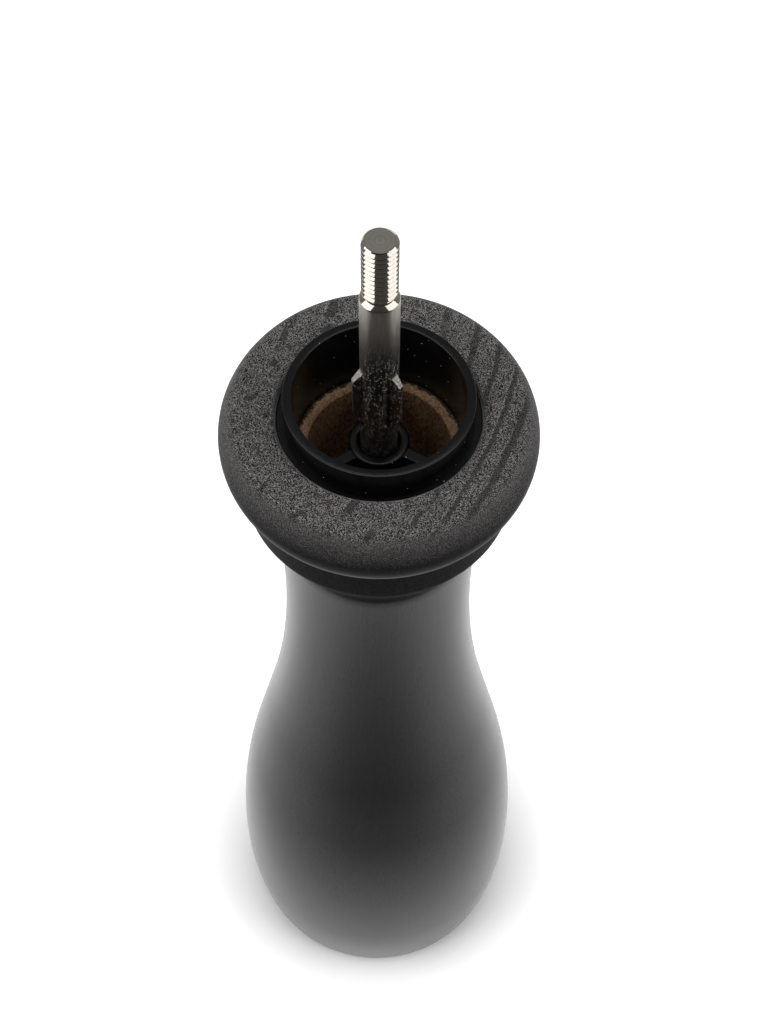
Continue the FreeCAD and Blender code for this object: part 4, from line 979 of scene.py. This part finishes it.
class MILL_OT_stage(bpy.types.Operator):
    """Sets the floor, the soft light and the camera"""

    bl_idname = "mill.stage"
    bl_label = "Stage"

    def execute(self, context):
        scene, settings = context.scene, context.scene.mill_stage
        self.lay_floor(settings)
        self.light(scene, settings)
        self.place_camera(scene, settings)
        scene.view_settings.view_transform = "Standard"
        return {"FINISHED"}

    def lay_floor(self, settings):
        shape = bmesh.new()
        bmesh.ops.create_grid(shape, x_segments=1, y_segments=1, size=settings.floor_reach)
        floor = placed("floor", shape)
        material, tree, place = new_material("white_card")
        # Straight on or mirrored, the floor looks paler than its light makes it, though not under the mill
        rays = add(tree, "ShaderNodeLightPath").node.outputs
        seen = add(tree, MATH, {0: rays["Is Camera Ray"], 1: rays["Is Glossy Ray"]}, operation="MAXIMUM")
        seen = add(tree, MATH, {0: seen, 1: rays["Is Transmission Ray"]}, operation="MAXIMUM")
        distance = from_upright(tree, place)
        near = add(tree, RANGE, {0: distance, 1: settings.lift_start, 2: settings.lift_full,
                                 4: settings.lift})
        far = add(tree, RANGE, {0: distance, 1: settings.white_start, 2: settings.white_full})
        lift = add(tree, MATH, {0: near, 1: far}, operation="MAXIMUM")
        # Painted dark reflection: in mirrors the floor before the mill fades to black, while the camera still
        # sees it white
        ahead = add(tree, SPLIT, {0: place}, "Y")
        painted_dark_reflection = add(tree, RANGE, {0: ahead, 1: -settings.dark_reflection_full, 2: -settings.dark_reflection_start, 3: 0.9, 4: 0.0})
        painted_dark_reflection = add(tree, MATH, {0: painted_dark_reflection, 1: rays["Is Glossy Ray"]}, operation="MULTIPLY")
        card = add(tree, MIX, {0: painted_dark_reflection, 6: settings.floor, 7: (0, 0, 0, 1)}, **COLOUR_MIX)
        surface(tree, Base_Color=card, Roughness=0.9, Specular_IOR_Level=0.0, Emission_Color=card,
                Emission_Strength=add(tree, MATH, {0: seen, 1: lift}, operation="MULTIPLY"))
        floor.data.materials.append(material)

    def light(self, scene, settings):
        scene.world = bpy.data.worlds.new("white_surroundings")
        tree = new_tree(scene.world)
        # The room is dark behind the camera and pale behind the mill, and the camera itself sees it white
        ahead = add(tree, SPLIT, {0: add(tree, "ShaderNodeTexCoord", output="Generated")}, "Y")
        room = add(tree, RANGE, {0: ahead, 1: -0.7, 2: 0.7, 3: settings.room_front, 4: settings.room_back})
        camera = add(tree, "ShaderNodeLightPath", output="Is Camera Ray")
        strength = add(tree, RANGE, {0: camera, 3: room, 4: 1.0})
        back = add(tree, "ShaderNodeBackground", {"Color": (1, 1, 1, 1), "Strength": strength})
        add(tree, "ShaderNodeOutputWorld", {"Surface": back})
        for box in SOFT_BOXES:
            soft_box(*box)

    def place_camera(self, scene, settings):
        data = bpy.data.cameras.new("photo_camera")
        data.lens = settings.lens
        data.sensor_width = 36
        data.shift_x = settings.shift
        data.clip_start = 0.01
        camera = bpy.data.objects.new("photo_camera", data)
        back = Vector((0, -math.cos(settings.elevation), math.sin(settings.elevation)))
        camera.location = Vector((0, 0, settings.aim)) + back * settings.distance
        tilt = Matrix.Rotation(math.pi / 2 - settings.elevation, 4, "X")
        camera.rotation_euler = (tilt @ Matrix.Rotation(settings.roll, 4, "Z")).to_euler()
        scene.collection.objects.link(camera)
        scene.camera = camera


# Add-on

OPERATORS = [MILL_OT_wooden_body, MILL_OT_guide_collar, MILL_OT_drive_shaft, MILL_OT_compression_spring,
             MILL_OT_grinder, MILL_OT_base_fittings, MILL_OT_stage]
GROUPS = {"mill_wood": WoodSizes, "mill_collar": CollarSizes, "mill_shaft": ShaftSizes,
          "mill_spring": SpringSizes, "mill_finishes": Finishes, "mill_stage": StageSettings}


class MILL_PT_sidebar(bpy.types.Panel):
    """Lists the pieces of the mill and their settings"""

    bl_idname = "MILL_PT_sidebar"
    bl_label = "Pepper mill"
    bl_space_type = "VIEW_3D"
    bl_region_type = "UI"
    bl_category = "Mill"

    def draw(self, context):
        for operator in OPERATORS:
            self.layout.operator(operator.bl_idname)
        for name, group in GROUPS.items():
            box = self.layout.box()
            box.label(text=group.__doc__.split(".")[0])
            for setting in group.__annotations__:
                box.prop(getattr(context.scene, name), setting)


def register():
    for name, group in GROUPS.items():
        bpy.utils.register_class(group)
        setattr(bpy.types.Scene, name, bpy.props.PointerProperty(type=group))
    for item in (*OPERATORS, MILL_PT_sidebar):
        bpy.utils.register_class(item)


def unregister():
    for item in (MILL_PT_sidebar, *reversed(OPERATORS)):
        bpy.utils.unregister_class(item)
    for name, group in GROUPS.items():
        delattr(bpy.types.Scene, name)
        bpy.utils.unregister_class(group)


def main():
    register()
    bpy.ops.mill.wooden_body()
    bpy.ops.mill.guide_collar()
    bpy.ops.mill.drive_shaft()
    bpy.ops.mill.compression_spring()
    bpy.ops.mill.grinder()
    bpy.ops.mill.base_fittings()
    bpy.ops.mill.stage()


if __name__ == "__main__":
    main()
